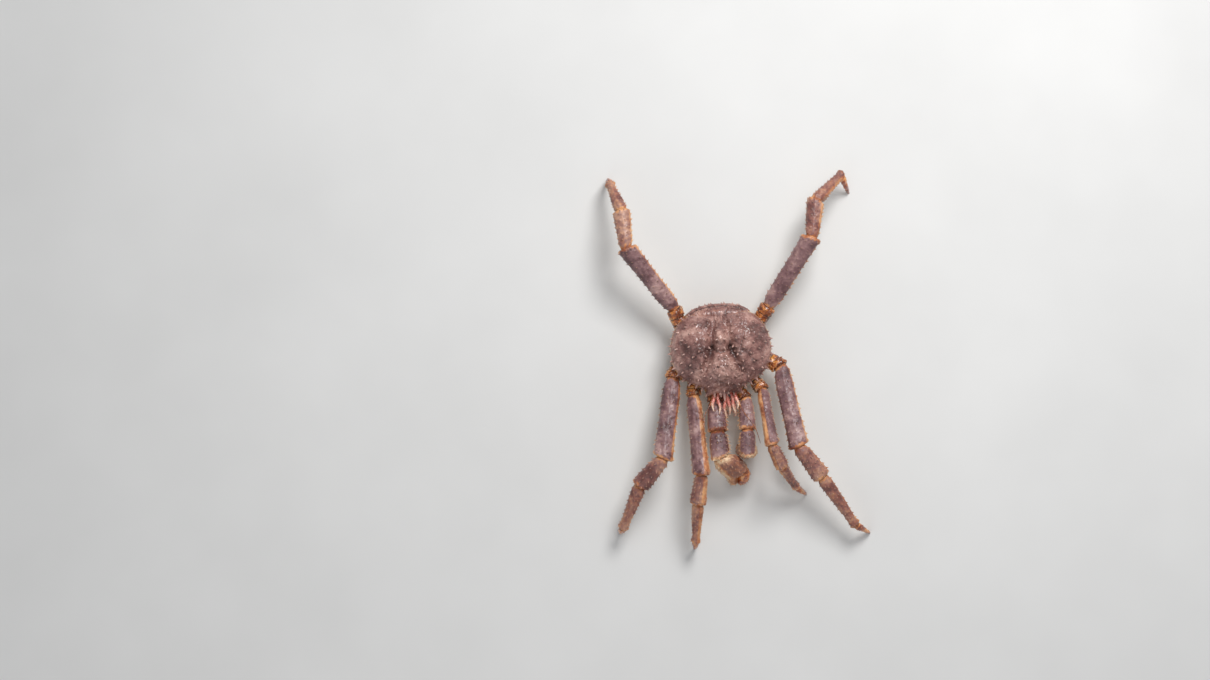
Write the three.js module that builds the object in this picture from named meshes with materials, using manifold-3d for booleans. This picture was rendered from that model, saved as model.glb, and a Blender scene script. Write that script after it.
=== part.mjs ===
// A red king crab standing on its six walking legs, life size, in millimetres.
// +Z is up, the head looks along -Y, and the crab's own right side is -X.
import * as THREE from "three";
import { mergeVertices } from "three/addons/utils/BufferGeometryUtils.js";
import Module from "manifold-3d";

const wasm = await Module();
wasm.setup();

// Driving dimensions
const shellWidth = 190;
const shellRise = 50;
const widestHeight = 72;
const rimHeight = 60;
const bellyHeight = 25;
const gap = 0.3;
const shortestEdge = 0.02;
const shellColumns = 40;
const tailSides = 20;
const spineSides = 5;
const spineRoot = 3.2;

// Finishes
const finish = (color, roughness) => new THREE.MeshStandardMaterial({ color, roughness, metalness: 0 });
const shellFinish = finish(0x9a7772, 0.5);
const limbFinish = finish(0xa08284, 0.42);
const hipFinish = finish(0xb5703c, 0.45);
const toeFinish = finish(0x8a4a30, 0.35);
const bellyFinish = finish(0xd8b48c, 0.55);
const mouthFinish = finish(0xc0685a, 0.45);
const eyeFinish = finish(0x120d0c, 0.12);

const crab = new THREE.Group();
const body = new THREE.Group();
crab.add(body);

const degrees = THREE.MathUtils.degToRad;
const point = (x, y, z) => new THREE.Vector3(x, y, z);
const straightUp = point(0, 0, 1);
const geometryUp = point(0, 1, 0);
const mix = THREE.MathUtils.lerp;
const fraction = (x) => x - Math.floor(x);
// A repeatable number from 0 to 1 for the k-th of many like pieces
const varied = (k) => fraction(Math.sin(k * 12.9898 + 4.1) * 43758.5453);
const counting = (count) => Array.from({ length: count }, (_, k) => k);

function solidOf(geometry) {
  geometry.deleteAttribute("normal");
  geometry.deleteAttribute("uv");
  const merged = mergeVertices(geometry, 1e-3);
  return new wasm.Manifold(
    new wasm.Mesh({
      numProp: 3,
      vertProperties: merged.attributes.position.array,
      triVerts: new Uint32Array(merged.index.array),
    }),
  );
}

const joined = (solids) => wasm.Manifold.union(solids);

// One cone of a spine, its root sunk under the place where it leaves the surface
function spine({ place, direction, height, radius }, grow = 0) {
  const length = height + spineRoot;
  const geometry = new THREE.ConeGeometry((radius * length) / height + grow, length + grow, spineSides);
  geometry.translate(0, length / 2 - spineRoot, 0);
  const turn = new THREE.Quaternion().setFromUnitVectors(geometryUp, direction.clone().normalize());
  geometry.applyQuaternion(turn);
  geometry.translate(place.x, place.y, place.z);
  return solidOf(geometry);
}

// Adds one named sub-part, keeping the largest closed surface of what its pieces join into
function addNode(name, solid, material) {
  const bodies = solid.simplify(shortestEdge).decompose();
  bodies.sort((a, b) => b.volume() - a.volume());
  const cut = bodies[0].getMesh();
  const geometry = new THREE.BufferGeometry();
  geometry.setAttribute("position", new THREE.BufferAttribute(new Float32Array(cut.vertProperties), 3));
  geometry.setIndex(new THREE.BufferAttribute(new Uint32Array(cut.triVerts), 1));
  const mesh = new THREE.Mesh(geometry, material);
  mesh.name = name;
  body.add(mesh);
}

// Turns a sphere's rows and columns into a body: place(row, angle) gives each point,
// where the angle runs from the head round the crab's left side
function roundBody(rows, columns, place) {
  const geometry = new THREE.SphereGeometry(1, columns, rows);
  const position = geometry.attributes.position;
  for (let row = 0; row <= rows; row += 1) {
    for (let column = 0; column <= columns; column += 1) {
      const turn = ((column % columns) / columns) * 2 * Math.PI;
      const angle = Math.atan2(-Math.cos(turn), Math.sin(turn));
      position.setXYZ(row * (columns + 1) + column, ...place(row, angle).toArray());
    }
  }
  return solidOf(geometry);
}

// Outline of the shell seen from above: angle from the head in degrees, reach as a share of half the width
const outline = [
  [0, 0.86], [12, 0.87], [19, 0.93], [26, 0.84], [38, 0.85], [52, 0.92], [72, 0.99],
  [90, 1.0], [104, 1.0], [122, 0.99], [138, 0.95], [156, 0.79], [180, 0.71],
];

const outlineCurve = new THREE.CubicInterpolant(
  outline.map(([angle]) => angle),
  outline.map(([, share]) => share),
  1,
  new Float64Array(1),
);
outlineCurve.settings = { endingStart: THREE.ZeroSlopeEnding, endingEnd: THREE.ZeroSlopeEnding };

// How far the outline lies from the shell's middle at an angle from the head
function reach(angle) {
  const turn = Math.min(180, Math.abs(THREE.MathUtils.radToDeg(angle)));
  return (outlineCurve.evaluate(turn)[0] * shellWidth) / 2;
}

// Swollen regions of the shell: place and spread in plan, and how far each stands up
const swellings = {
  stomach: { x: 0, y: -40, wide: 26, long: 30, up: 7 },
  heart: { x: 0, y: 24, wide: 10, long: 19, up: 8 },
  gills: { x: 54, y: 14, wide: 27, long: 38, up: 8 },
  rear: { x: 0, y: 58, wide: 30, long: 7, up: 3 },
};
// Groove between the regions, from the rear edge past the heart and out to the front corner
const groove = { depth: 7, wide: 5, line: [[9, 58], [16, 30], [17, 6], [29, -30], [47, -56]] };
const pit = { x: 25, y: 10, spread: 8, depth: 6 };

function bump(x, y, wide, long) {
  return Math.exp(-((x / wide) ** 2 + (y / long) ** 2));
}

function distanceToLine(x, y, line) {
  let nearest = Infinity;
  for (let i = 1; i < line.length; i += 1) {
    const [ax, ay] = line[i - 1];
    const [bx, by] = [line[i][0] - ax, line[i][1] - ay];
    const t = THREE.MathUtils.clamp(((x - ax) * bx + (y - ay) * by) / (bx * bx + by * by), 0, 1);
    nearest = Math.min(nearest, Math.hypot(x - ax - t * bx, y - ay - t * by));
  }
  return nearest;
}

// Height of the shell's upper face at a plan point, share being its distance out to the edge
function shellHeight(x, y, share) {
  const side = Math.abs(x);
  let relief = 0;
  for (const s of Object.values(swellings)) relief += s.up * bump(side - s.x, y - s.y, s.wide, s.long);
  relief -= groove.depth * Math.exp(-((distanceToLine(side, y, groove.line) / groove.wide) ** 2));
  relief -= pit.depth * bump(side - pit.x, y - pit.y, pit.spread, pit.spread);
  const dome = (1 - Math.min(1, share) ** 2.5) ** 0.6;
  return widestHeight + (shellRise - 8) * dome + relief * (1 - share ** 4);
}

function planPoint(angle, share, grow = 0) {
  const radius = reach(angle) * share + grow * (share > 0 ? 1 : 0);
  return [Math.sin(angle) * radius, -Math.cos(angle) * radius];
}

// The shell: a domed upper face, the widest line, and a flat underside; grow makes it larger all round
function shell(grow) {
  const shares = [0, 0.17, 0.33, 0.48, 0.61, 0.73, 0.83, 0.92, 0.975, 1, 0.965, 0];
  const rim = shares.length - 2;
  return roundBody(shares.length - 1, shellColumns, (row, angle) => {
    const [x, y] = planPoint(angle, shares[row], grow);
    const z = row >= rim ? rimHeight - grow : shellHeight(x, y, shares[row]) + grow;
    return point(x, y, z);
  });
}

// The point of the upper face at an angle and share, with the direction that it faces
function shellSurface(angle, share) {
  const [x, y] = planPoint(angle, share);
  const step = 1.5;
  const heightAt = (px, py) => shellHeight(px, py, Math.hypot(px, py) / reach(Math.atan2(px, -py)));
  const slopeX = (heightAt(x + step, y) - heightAt(x - step, y)) / (2 * step);
  const slopeY = (heightAt(x, y + step) - heightAt(x, y - step)) / (2 * step);
  return { place: point(x, y, shellHeight(x, y, share)), normal: point(-slopeX, -slopeY, 1).normalize() };
}

// Spines of the shell: pairs on the heart and stomach regions, a spread over the rest, and a row
// round the edge that is longest beside the head
const goldenAngle = Math.PI * (3 - Math.sqrt(5));
const shellSpines = {
  pairs: [
    [5, 4], [6.5, 20], [6, 36],
    [6, -14], [7, -28], [16, -36], [7, -46], [22, -50], [9, -62], [27, -66],
  ],
  pairSize: [7, 3.6],
  spread: { count: 118, clearOfMiddle: 14, clearOfPairs: 10, size: [6.5, 3.4], reach: 0.92 },
  edge: { count: 34, size: [9, 3.8], share: 0.985, lean: 1.1 },
  beak: { x: 0, y: -79, z: 76, lean: [0, -1, 0.3], size: [14, 5] },
};

function shellSpinePlaces() {
  const { pairs, pairSize, spread, edge, beak } = shellSpines;
  const places = [];
  const stand = (angle, share, [height, radius], lean) => {
    const { place, normal } = shellSurface(angle, share);
    const direction = normal.clone().addScaledVector(lean, 1);
    const size = mix(0.8, 1.15, varied(places.length));
    places.push({ place, direction, height: height * size, radius: radius * size });
  };
  for (const [x, y] of pairs) {
    const angle = Math.atan2(x, -y);
    const share = Math.hypot(x, y) / reach(angle);
    for (const side of [1, -1]) stand(side * angle, share, pairSize, point(0, -0.25, 0));
  }
  for (const k of counting(spread.count)) {
    const share = Math.sqrt((k + 0.5) / spread.count) * spread.reach;
    const angle = Math.atan2(Math.sin(k * goldenAngle), Math.cos(k * goldenAngle));
    const [x, y] = planPoint(angle, share);
    const nearPair = pairs.some(([px, py]) => Math.hypot(x - px, y - py) < spread.clearOfPairs);
    if (x > spread.clearOfMiddle && !nearPair) {
      for (const side of [1, -1]) {
        stand(side * angle, share, spread.size, point(Math.sin(side * angle) * 0.3, -0.2, 0));
      }
    }
  }
  for (const k of counting(edge.count)) {
    const angle = ((k + 0.5) / edge.count) * 2 * Math.PI - Math.PI;
    const outward = point(Math.sin(angle) * edge.lean, -Math.cos(angle) * edge.lean, 0);
    const forward = mix(0.75, 1.25, (1 + Math.cos(angle)) / 2);
    stand(angle, edge.share, edge.size.map((s) => s * forward), outward);
  }
  const [height, radius] = beak.size;
  places.push({ place: point(beak.x, beak.y, beak.z), direction: point(...beak.lean), height, radius });
  return places;
}

// The body under the shell, which the legs grow from: share of the outline and height of each ring
const underbodyRings = [
  [0, rimHeight - gap], [0.93, rimHeight - gap],
  [0.91, 50], [0.8, 37], [0.6, 29], [0.3, 26], [0, bellyHeight],
];

function underbody(grow) {
  return roundBody(underbodyRings.length - 1, shellColumns, (row, angle) => {
    const [share, height] = underbodyRings[row];
    const [x, y] = planPoint(angle, share, grow);
    return point(x, y, height + (row < 2 ? grow : -grow));
  });
}

// The slant of a cut end fades out over this share of the limb's length
const slideShare = 0.45;

// A round-sided limb piece along a path. Each station is a share of the length, half the width,
// half the thickness and, if it has one, a shift sideways. Where an end meets a neighbour,
// the end is cut along the plane whose normal is given, half the gap short of it.
class Limb {
  constructor({ path, across, stations, sides = 10, startNormal, endNormal, endGap = gap / 2 }) {
    Object.assign(this, { path, across, stations, sides, startNormal, endNormal, endGap });
  }

  frame(t) {
    const along = this.path.getTangentAt(t);
    const wide = this.across.clone().addScaledVector(along, -this.across.dot(along)).normalize();
    return { centre: this.path.getPointAt(t), along, wide, thick: wide.clone().cross(along) };
  }

  section(t) {
    const last = this.stations.length - 1;
    let next = this.stations.findIndex(([at]) => at >= t);
    if (next < 0) next = last;
    if (next === 0) next = 1;
    const [a, b] = [this.stations[next - 1], this.stations[next]];
    const between = (t - a[0]) / (b[0] - a[0]);
    return [1, 2, 3].map((i) => mix(a[i] ?? 0, b[i] ?? 0, between));
  }

  // A point of the surface, or of the limb's middle line where out is 0, and the way it faces
  surface(t, angle, out = 1) {
    const { centre, along, wide, thick } = this.frame(t);
    const [halfWidth, halfThick, shift] = this.section(t);
    const offset = wide.clone().multiplyScalar(out * halfWidth * Math.cos(angle) + shift);
    offset.addScaledVector(thick, out * halfThick * Math.sin(angle));
    const normal = wide.clone().multiplyScalar(Math.cos(angle) / halfWidth);
    normal.addScaledVector(thick, Math.sin(angle) / halfThick).normalize();
    const place = centre.clone().add(offset).addScaledVector(along, this.slide(t, offset, along));
    return { place, normal, along };
  }

  solid() {
    const steps = this.stations.length - 1;
    const geometry = new THREE.CylinderGeometry(1, 1, 1, this.sides, steps);
    const position = geometry.attributes.position;
    for (let i = 0; i < position.count; i += 1) {
      const step = Math.round((position.getY(i) + 0.5) * steps);
      const out = Math.hypot(position.getX(i), position.getZ(i));
      const angle = Math.atan2(position.getZ(i), position.getX(i));
      const { place } = this.surface(this.stations[step][0], angle, out);
      position.setXYZ(i, place.x, place.y, place.z);
    }
    return solidOf(geometry);
  }

  // Rows of spines, each leaning towards the limb's tip. A row is its angle round the limb, the shares
  // of the length where it starts and ends, how many spines, and their height; turn is -1 where
  // the rows run the other way round.
  spines(rows, size, turn = 1) {
    return rows.flatMap(([angle, from, to, count, height], row) =>
      counting(count).map((k) => {
        const chance = varied(7 * row + k + 1);
        const t = mix(from, to, count > 1 ? k / (count - 1) : 0.5);
        const { place, normal, along } = this.surface(t, degrees(turn * angle + mix(-6, 6, chance)));
        const direction = normal.clone().addScaledVector(along, 0.4);
        const tall = height * size * mix(0.8, 1.15, chance);
        return spine({ place, direction, height: tall, radius: tall * 0.3 + 1.1 });
      }),
    );
  }

  // How far a point slides along the limb so that the ends lie in their planes
  slide(t, offset, along) {
    const ends = [
      [this.startNormal, t, gap / 2],
      [this.endNormal, 1 - t, -this.endGap],
    ];
    let slid = 0;
    for (const [normal, share, short] of ends) {
      const weight = Math.max(0, 1 - share / slideShare);
      if (normal) slid += weight * (short - offset.dot(normal) / along.dot(normal));
    }
    return slid;
  }
}

const legPath = (from, to) => new THREE.LineCurve3(from, to);

// Half widths and half thicknesses of each piece of a full-size walking leg
const legPieces = {
  hip: [[0, 12, 12], [0.5, 14.5, 13.5], [0.86, 16, 14.5], [1, 14, 13]],
  merus: [[0, 11, 9.5], [0.07, 14.5, 12], [0.35, 17, 12.5], [0.7, 17.5, 13], [0.93, 17, 14], [1, 15.5, 13]],
  carpus: [[0, 11, 10], [0.15, 14, 12.5], [0.5, 15.5, 13], [0.85, 15.5, 13.5], [1, 13.5, 12.5]],
  propodus: [[0, 9.5, 9], [0.12, 12.5, 11], [0.5, 10.5, 9], [0.85, 8.5, 8], [0.95, 9, 8.5], [1, 8, 8]],
  dactyl: [[0, 6.5, 6.5], [0.2, 6.5, 6.5], [0.5, 5, 5.5], [0.8, 3.4, 3.6], [1, 1.9, 1.9]],
};

// Rows of spines on the leg pieces, where 0 and 180 are the two edges of a piece and 90 is its top
const legSpines = {
  hip: [[40, 0.8, 0.8, 1, 4], [90, 0.75, 0.75, 1, 4], [140, 0.8, 0.8, 1, 4]],
  merus: [[6, 0.14, 0.9, 6, 4], [174, 0.14, 0.9, 6, 4], [66, 0.2, 0.9, 4, 4.4], [114, 0.12, 0.9, 5, 4.4]],
  carpus: [[8, 0.22, 0.8, 3, 3.8], [172, 0.22, 0.8, 3, 3.8], [70, 0.3, 0.8, 2, 4.2], [112, 0.3, 0.8, 2, 4.2]],
  propodus: [[8, 0.14, 0.84, 4, 3.2], [172, 0.14, 0.84, 4, 3.2], [90, 0.2, 0.7, 3, 3.4]],
};

// Where each pair of legs leaves the body: to the side, along and up
const roots = {
  claw: [26, -68, 46],
  front: [54, -50, 44],
  middle: [80, -16, 46],
  hind: [68, 36, 46],
};

// Each leg's pose, piece by piece: its length seen from above, its heading in degrees and its climb.
// The last piece goes down to the floor.
const legs = [
  { pair: "front", side: "right", size: 0.9, roll: 25,
    steps: [[33, -96, 10], [148, -89, 36], [55, -101, -18], [73, -97, -30], [14, -96]] },
  { pair: "front", side: "left", size: 0.86, roll: -75,
    steps: [[37, -59, 10], [103, -86, 64], [44, -69, -22], [51, -59, -52], [27, -41]] },
  { pair: "middle", side: "right", size: 1, roll: 0,
    steps: [[34, -113, 10], [150, -102, 40], [67, -134, -18], [87, -116, -34], [11, -119]] },
  { pair: "middle", side: "left", size: 1, roll: 0,
    steps: [[39, -39, 10], [153, -82, 34], [72, -57, -16], [113, -59, -34], [34, -35]] },
  { pair: "hind", side: "right", size: 0.94, roll: 0,
    steps: [[50, 105, 12], [145, 124, 42], [70, 93, -12], [57, 108, -42], [8, 105]] },
  { pair: "hind", side: "left", size: 0.94, roll: 0,
    steps: [[49, 54, 12], [151, 54, 42], [69, 79, -12], [71, 40, -42], [36, -66]] },
];

const headingVector = (heading) => point(Math.cos(degrees(heading)), Math.sin(degrees(heading)), 0);

// The places of a leg's joints, from its root out to its tip
function jointsOf({ pair, side, steps }) {
  const [out, along, up] = roots[pair];
  const joints = [point(side === "right" ? -out : out, along, up)];
  for (const [plan, heading, climb] of steps) {
    const from = joints.at(-1);
    const next = from.clone().addScaledVector(headingVector(heading), plan);
    next.z = climb === undefined ? 0 : from.z + climb;
    joints.push(next);
  }
  return joints;
}

const directions = (joints) => joints.slice(1).map((p, i) => p.clone().sub(joints[i]).normalize());
const mitre = (a, b) => a.clone().add(b).normalize();
const scaled = (stations, size) => stations.map(([t, ...sizes]) => [t, ...sizes.map((s) => s * size)]);
const levelAcross = (heading) => headingVector(heading - 90);

// What grows out from under the shell is cut clear of this
const shellSpineList = shellSpinePlaces();
const bodyClearance = joined([shell(gap), underbody(gap), ...shellSpineList.map((s) => spine(s, gap * 1.5))]);

function addLeg(leg) {
  const joints = jointsOf(leg);
  const ways = directions(joints);
  const name = `leg_${leg.pair}_${leg.side}`;
  Object.keys(legPieces).forEach((piece, i) => {
    const heading = leg.steps[i][1];
    const across = levelAcross(heading).applyAxisAngle(ways[i], degrees(i === 0 ? 0 : leg.roll));
    const isToe = i === ways.length - 1;
    const bulge = joints[i].clone().lerp(joints[i + 1], 0.5).addScaledVector(headingVector(heading), 5);
    const path = isToe
      ? new THREE.QuadraticBezierCurve3(joints[i], bulge, joints[i + 1])
      : legPath(joints[i], joints[i + 1]);
    const limb = new Limb({
      path,
      across,
      stations: scaled(legPieces[piece], leg.size),
      sides: isToe ? 8 : 10,
      startNormal: i > 0 ? mitre(ways[i - 1], ways[i]) : undefined,
      endNormal: isToe ? straightUp.clone().negate() : mitre(ways[i], ways[i + 1]),
      endGap: isToe ? 0 : gap / 2,
    });
    let solid = joined([limb.solid(), ...limb.spines(legSpines[piece] ?? [], leg.size)]);
    if (i === 0) solid = solid.subtract(bodyClearance);
    addNode(`${name}_${piece}`, solid, piece === "hip" ? hipFinish : isToe ? toeFinish : limbFinish);
  });
}

// Half widths and half thicknesses of each piece of the large claw limb
const clawPieces = {
  hip: [[0, 10, 10], [0.5, 12, 12], [0.86, 14, 13], [1, 13, 12]],
  merus: [[0, 11, 11], [0.2, 15, 14], [0.6, 17.5, 16], [0.9, 18, 17], [1, 16, 15]],
  carpus: [[0, 12, 11], [0.2, 16, 15], [0.6, 17.5, 16], [0.9, 17, 16], [1, 15, 14]],
  palm: [
    [0, 12, 11], [0.12, 19, 15], [0.3, 23, 17], [0.5, 23, 16], [0.57, 22, 15],
    [0.62, 9.5, 12, -12], [0.75, 9.5, 11, -12], [0.9, 7.5, 8, -9], [1, 3, 4, -5],
  ],
  finger: [[0, 9, 10, 12.5], [0.3, 9.5, 10, 12.5], [0.7, 8, 8, 10], [1, 3, 4, 5]],
};

// Share of the palm's length where the moving finger starts beside the fixed one
const fingerStart = 0.62;

// The claws' spines stand along their inner edges and on top
const clawSpines = {
  hip: [[115, 0.8, 0.8, 1, 4]],
  merus: [[4, 0.25, 0.9, 4, 5], [50, 0.3, 0.88, 3, 4.4], [100, 0.35, 0.9, 3, 4.4]],
  carpus: [[4, 0.2, 0.85, 4, 5], [52, 0.3, 0.8, 3, 4.6], [104, 0.3, 0.8, 2, 4.4]],
  palm: [[20, 0.12, 0.45, 3, 4.4], [65, 0.16, 0.5, 3, 4.2], [115, 0.14, 0.48, 3, 4], [160, 0.2, 0.5, 3, 3.6]],
};

const claws = [
  { pair: "claw", side: "right", size: 1,
    steps: [[27, -70, 4], [60, -91, 24], [47, -89, 8], [44, -46, -32], [22, -92, -30]] },
  { pair: "claw", side: "left", size: 0.84,
    steps: [[30, -61, 4], [60, -92, 24], [39, -95, 6], [3, 90, -42], [2, 90, -28]] },
];

function addClaw(claw) {
  const joints = jointsOf(claw);
  const ways = directions(joints);
  const name = `claw_${claw.side}`;
  const inward = claw.side === "right" ? 1 : -1;
  const clawPath = new THREE.CatmullRomCurve3(joints.slice(3));
  const shapes = Object.fromEntries(Object.entries(clawPieces).map(([k, v]) => [k, scaled(v, claw.size)]));
  ["hip", "merus", "carpus"].forEach((piece, i) => {
    const limb = new Limb({
      path: legPath(joints[i], joints[i + 1]),
      across: levelAcross(claw.steps[i][1]).multiplyScalar(-inward),
      stations: shapes[piece],
      startNormal: i > 0 ? mitre(ways[i - 1], ways[i]) : undefined,
      endNormal: mitre(ways[i], i === 2 ? clawPath.getTangentAt(0) : ways[i + 1]),
    });
    let solid = joined([limb.solid(), ...limb.spines(clawSpines[piece], claw.size, -inward)]);
    if (i === 0) solid = solid.subtract(bodyClearance);
    addNode(`${name}_${piece}`, solid, piece === "hip" ? hipFinish : limbFinish);
  });
  const across = point(inward, 0, 0);
  const palm = new Limb({
    path: clawPath,
    across,
    stations: shapes.palm,
    startNormal: mitre(ways[2], clawPath.getTangentAt(0)),
  });
  const palmSolid = joined([palm.solid(), ...palm.spines(clawSpines.palm, claw.size, -inward)]);
  addNode(`${name}_palm`, palmSolid, limbFinish);
  const fingerPath = new THREE.CatmullRomCurve3(
    [0, 0.5, 1].map((t) => clawPath.getPointAt(mix(fingerStart, 1, t))),
  );
  const finger = new Limb({ path: fingerPath, across, stations: shapes.finger, sides: 8 });
  addNode(`${name}_finger`, finger.solid(), toeFinish);
}

// The first joints of the tail, which show as a band behind the shell, and the flap folded under the belly
const tailBase = {
  line: [[64, 82], [72, 76], [77, 60], [74, 42], [64, 26]],
  stations: [[0, 48, 8], [0.2, 56, 9], [0.5, 60, 10], [0.8, 56, 9], [1, 50, 8]],
};
const tailFlap = {
  line: [[62, 22], [40, 19], [10, 18], [-14, 19], [-30, 22]],
  stations: [[0, 46, 8], [0.25, 46, 9], [0.5, 38, 9], [0.75, 28, 9], [0.92, 16, 7], [1, 5, 4]],
};

// Where the tail folds under, as a distance behind the middle of the shell
const tailFold = 63;

// Two rows of spines across the tail's band, each at one share along the tail
const tailSpines = [
  { along: 0.2, count: 8, aside: 0.82 },
  { along: 0.46, count: 7, aside: 0.7 },
].flatMap(({ along, count, aside }) =>
  counting(count).map((k) => {
    const across = mix(-aside, aside, k / (count - 1));
    return [THREE.MathUtils.radToDeg(Math.acos(across)), along, along, 1, 5];
  }),
);

function tailLimb({ line, stations }) {
  const path = new THREE.CatmullRomCurve3(line.map(([y, z]) => point(0, y, z)));
  return new Limb({ path, across: point(1, 0, 0), stations, sides: tailSides });
}

// Small limbs of the head, each along a path on the crab's left side, then the right one's path
// where it hangs otherwise
const headPieces = {
  eye: {
    left: [[9, -68, 63], [10, -80, 63.5], [11, -90, 65]],
    stations: [[0, 2.6, 2.6], [0.5, 2.8, 2.8], [0.72, 4.2, 4], [0.9, 3.9, 3.8], [1, 2, 2]],
    material: eyeFinish,
  },
  antennule: {
    left: [[7, -66, 54], [9, -92, 55], [11, -106, 58], [12, -116, 55]],
    right: [[0, -66, 54], [2, -90, 56], [3, -103, 59], [5, -114, 57]],
    stations: [[0, 2.4, 2.4], [0.4, 2.2, 2.2], [0.7, 1.6, 1.6], [1, 0.7, 0.7]],
    material: mouthFinish,
  },
  mouth_limb: {
    left: [[6, -62, 42], [13, -84, 41], [17, -104, 45], [20, -126, 46]],
    right: [[-5, -62, 42], [-1, -84, 41], [1, -104, 45], [1, -130, 48]],
    stations: [[0, 4, 5], [0.3, 4.6, 5.5], [0.6, 4.2, 5], [0.66, 4.8, 5], [0.9, 4.2, 4], [1, 2.2, 2.2]],
    material: mouthFinish,
  },
  antenna: {
    left: [[20, -66, 66], [21, -86, 68], [25, -100, 75], [34, -120, 87], [52, -150, 98], [60, -180, 92]],
    right: [[-20, -66, 66], [-21, -86, 68], [-26, -99, 75], [-39, -118, 87], [-44, -150, 98], [-43, -180, 94]],
    stations: [
      [0, 4, 4], [0.14, 4, 3.8], [0.2, 3.1, 3], [0.3, 2.9, 2.8],
      [0.34, 1.4, 1.4], [0.5, 1.2, 1.2], [0.7, 1, 1], [0.85, 0.8, 0.8], [1, 0.4, 0.4],
    ],
    material: hipFinish,
  },
};

function addHeadPieces() {
  for (const [piece, { left, right, stations, material }] of Object.entries(headPieces)) {
    const mirrored = left.map(([x, y, z]) => [-x, y, z]);
    for (const [side, points] of Object.entries({ left, right: right ?? mirrored })) {
      const path = new THREE.CatmullRomCurve3(points.map((p) => point(...p)));
      const limb = new Limb({ path, across: point(1, 0, 0), stations, sides: 8 });
      addNode(`${piece}_${side}`, limb.solid().subtract(bodyClearance), material);
    }
  }
}

function addBody() {
  addNode("carapace", joined([shell(0), ...shellSpineList.map((s) => spine(s))]), shellFinish);
  addNode("underbody", underbody(0), bellyFinish);
  const tail = tailLimb(tailBase);
  const base = joined([tail.solid(), ...tail.spines(tailSpines, 1)]).subtract(bodyClearance);
  const flap = tailLimb(tailFlap).solid().subtract(bodyClearance);
  const slab = (thick, y) => solidOf(new THREE.BoxGeometry(shellWidth, thick, shellWidth).translate(0, y, 0));
  const keepApart = slab(gap, tailFold);
  const behind = slab(shellWidth, tailFold + shellWidth / 2);
  addNode("tail_base", base.intersect(behind).subtract(keepApart), shellFinish);
  addNode("tail_flap", flap.subtract(behind).subtract(keepApart), bellyFinish);
}

addBody();
addHeadPieces();
legs.forEach(addLeg);
claws.forEach(addClaw);

// The origin is on the floor, under the middle of the crab's bounding box
const bounds = new THREE.Box3().setFromObject(body);
body.position.set(-(bounds.min.x + bounds.max.x) / 2, -(bounds.min.y + bounds.max.y) / 2, 0);

export default crab;
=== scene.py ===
import math

import bpy
import numpy as np
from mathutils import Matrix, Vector


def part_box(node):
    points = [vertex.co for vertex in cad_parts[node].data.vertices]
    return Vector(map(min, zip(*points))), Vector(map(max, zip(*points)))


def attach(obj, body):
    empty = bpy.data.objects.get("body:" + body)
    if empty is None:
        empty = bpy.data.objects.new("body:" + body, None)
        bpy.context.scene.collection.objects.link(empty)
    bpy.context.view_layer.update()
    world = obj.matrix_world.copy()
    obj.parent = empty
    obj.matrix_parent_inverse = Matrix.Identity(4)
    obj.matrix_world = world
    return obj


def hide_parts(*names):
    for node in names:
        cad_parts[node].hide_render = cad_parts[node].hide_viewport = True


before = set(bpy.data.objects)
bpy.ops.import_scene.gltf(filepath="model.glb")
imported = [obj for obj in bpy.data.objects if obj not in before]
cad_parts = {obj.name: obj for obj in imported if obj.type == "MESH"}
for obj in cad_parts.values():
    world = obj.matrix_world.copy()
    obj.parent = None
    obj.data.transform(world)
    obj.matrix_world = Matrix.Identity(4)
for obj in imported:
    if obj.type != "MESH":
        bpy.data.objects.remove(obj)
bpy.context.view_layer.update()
print("frame loaded:", len(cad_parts), "nodes")


# Numbers and curves

def vec(*xs):
    return np.array(xs, float)


def dot(a, b):
    return (a * b).sum(-1, keepdims=True)


def unitVector(v):
    return v / np.linalg.norm(v, axis=-1, keepdims=True)


def mix(a, b, t):
    return a + (b - a) * t


def ease(x, low, high):
    t = np.clip((x - low) / (high - low), 0, 1)
    return t * t * (3 - 2 * t)


def smoothThrough(x, xs, ys, flatEnds=False):
    # a cubic through the points, each slope the mean of the slopes beside it, level where the points turn
    # back; flatEnds levels it at both ends instead
    xs, ys = np.array(xs, float), np.array(ys, float)
    rise = np.diff(ys) / np.diff(xs)
    slope = np.concatenate([rise[:1], (rise[1:] + rise[:-1]) / 2, rise[-1:]])
    if flatEnds:
        slope[[0, -1]] = 0
    else:
        slope[1:-1][rise[1:] * rise[:-1] <= 0] = 0
    i = np.clip(np.searchsorted(xs, x, side="right") - 1, 0, len(xs) - 2)
    h = xs[i + 1] - xs[i]
    p = (x - xs[i]) / h
    leave = ys[i] * (2 * p**3 - 3 * p**2 + 1) + slope[i] * h * (p**3 - 2 * p**2 + p)
    return leave + ys[i + 1] * (3 * p**2 - 2 * p**3) + slope[i + 1] * h * (p**3 - p**2)


def ripple(points, size, seed, waves=14):
    # smooth unevenness about -1 to 1, from sine waves in random directions, size being the length of a swell
    draw = np.random.default_rng(seed)
    ways = unitVector(draw.normal(size=(waves, 3))) * (2 * np.pi / size) * draw.uniform(0.6, 1.7, (waves, 1))
    phase = draw.uniform(0, 2 * np.pi, waves)
    total = np.zeros(points.shape[:-1])
    for way, start in zip(ways, phase):
        total += np.sin(points @ way + start)
    return total / math.sqrt(waves)


def bumpsAt(points, centres, widths, heights):
    # the height of round bumps at each point, a bump ending at its width from its centre
    flat = points.reshape(-1, 3)
    total = np.zeros(len(flat))
    for centre, width, height in zip(centres, widths, heights):
        near = np.flatnonzero(np.abs(flat - centre).max(1) < width)
        apart = ((flat[near] - centre) ** 2).sum(1) / width**2
        total[near] += height * np.clip(1 - apart, 0, None) ** 2
    return total.reshape(points.shape[:-1])


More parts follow.
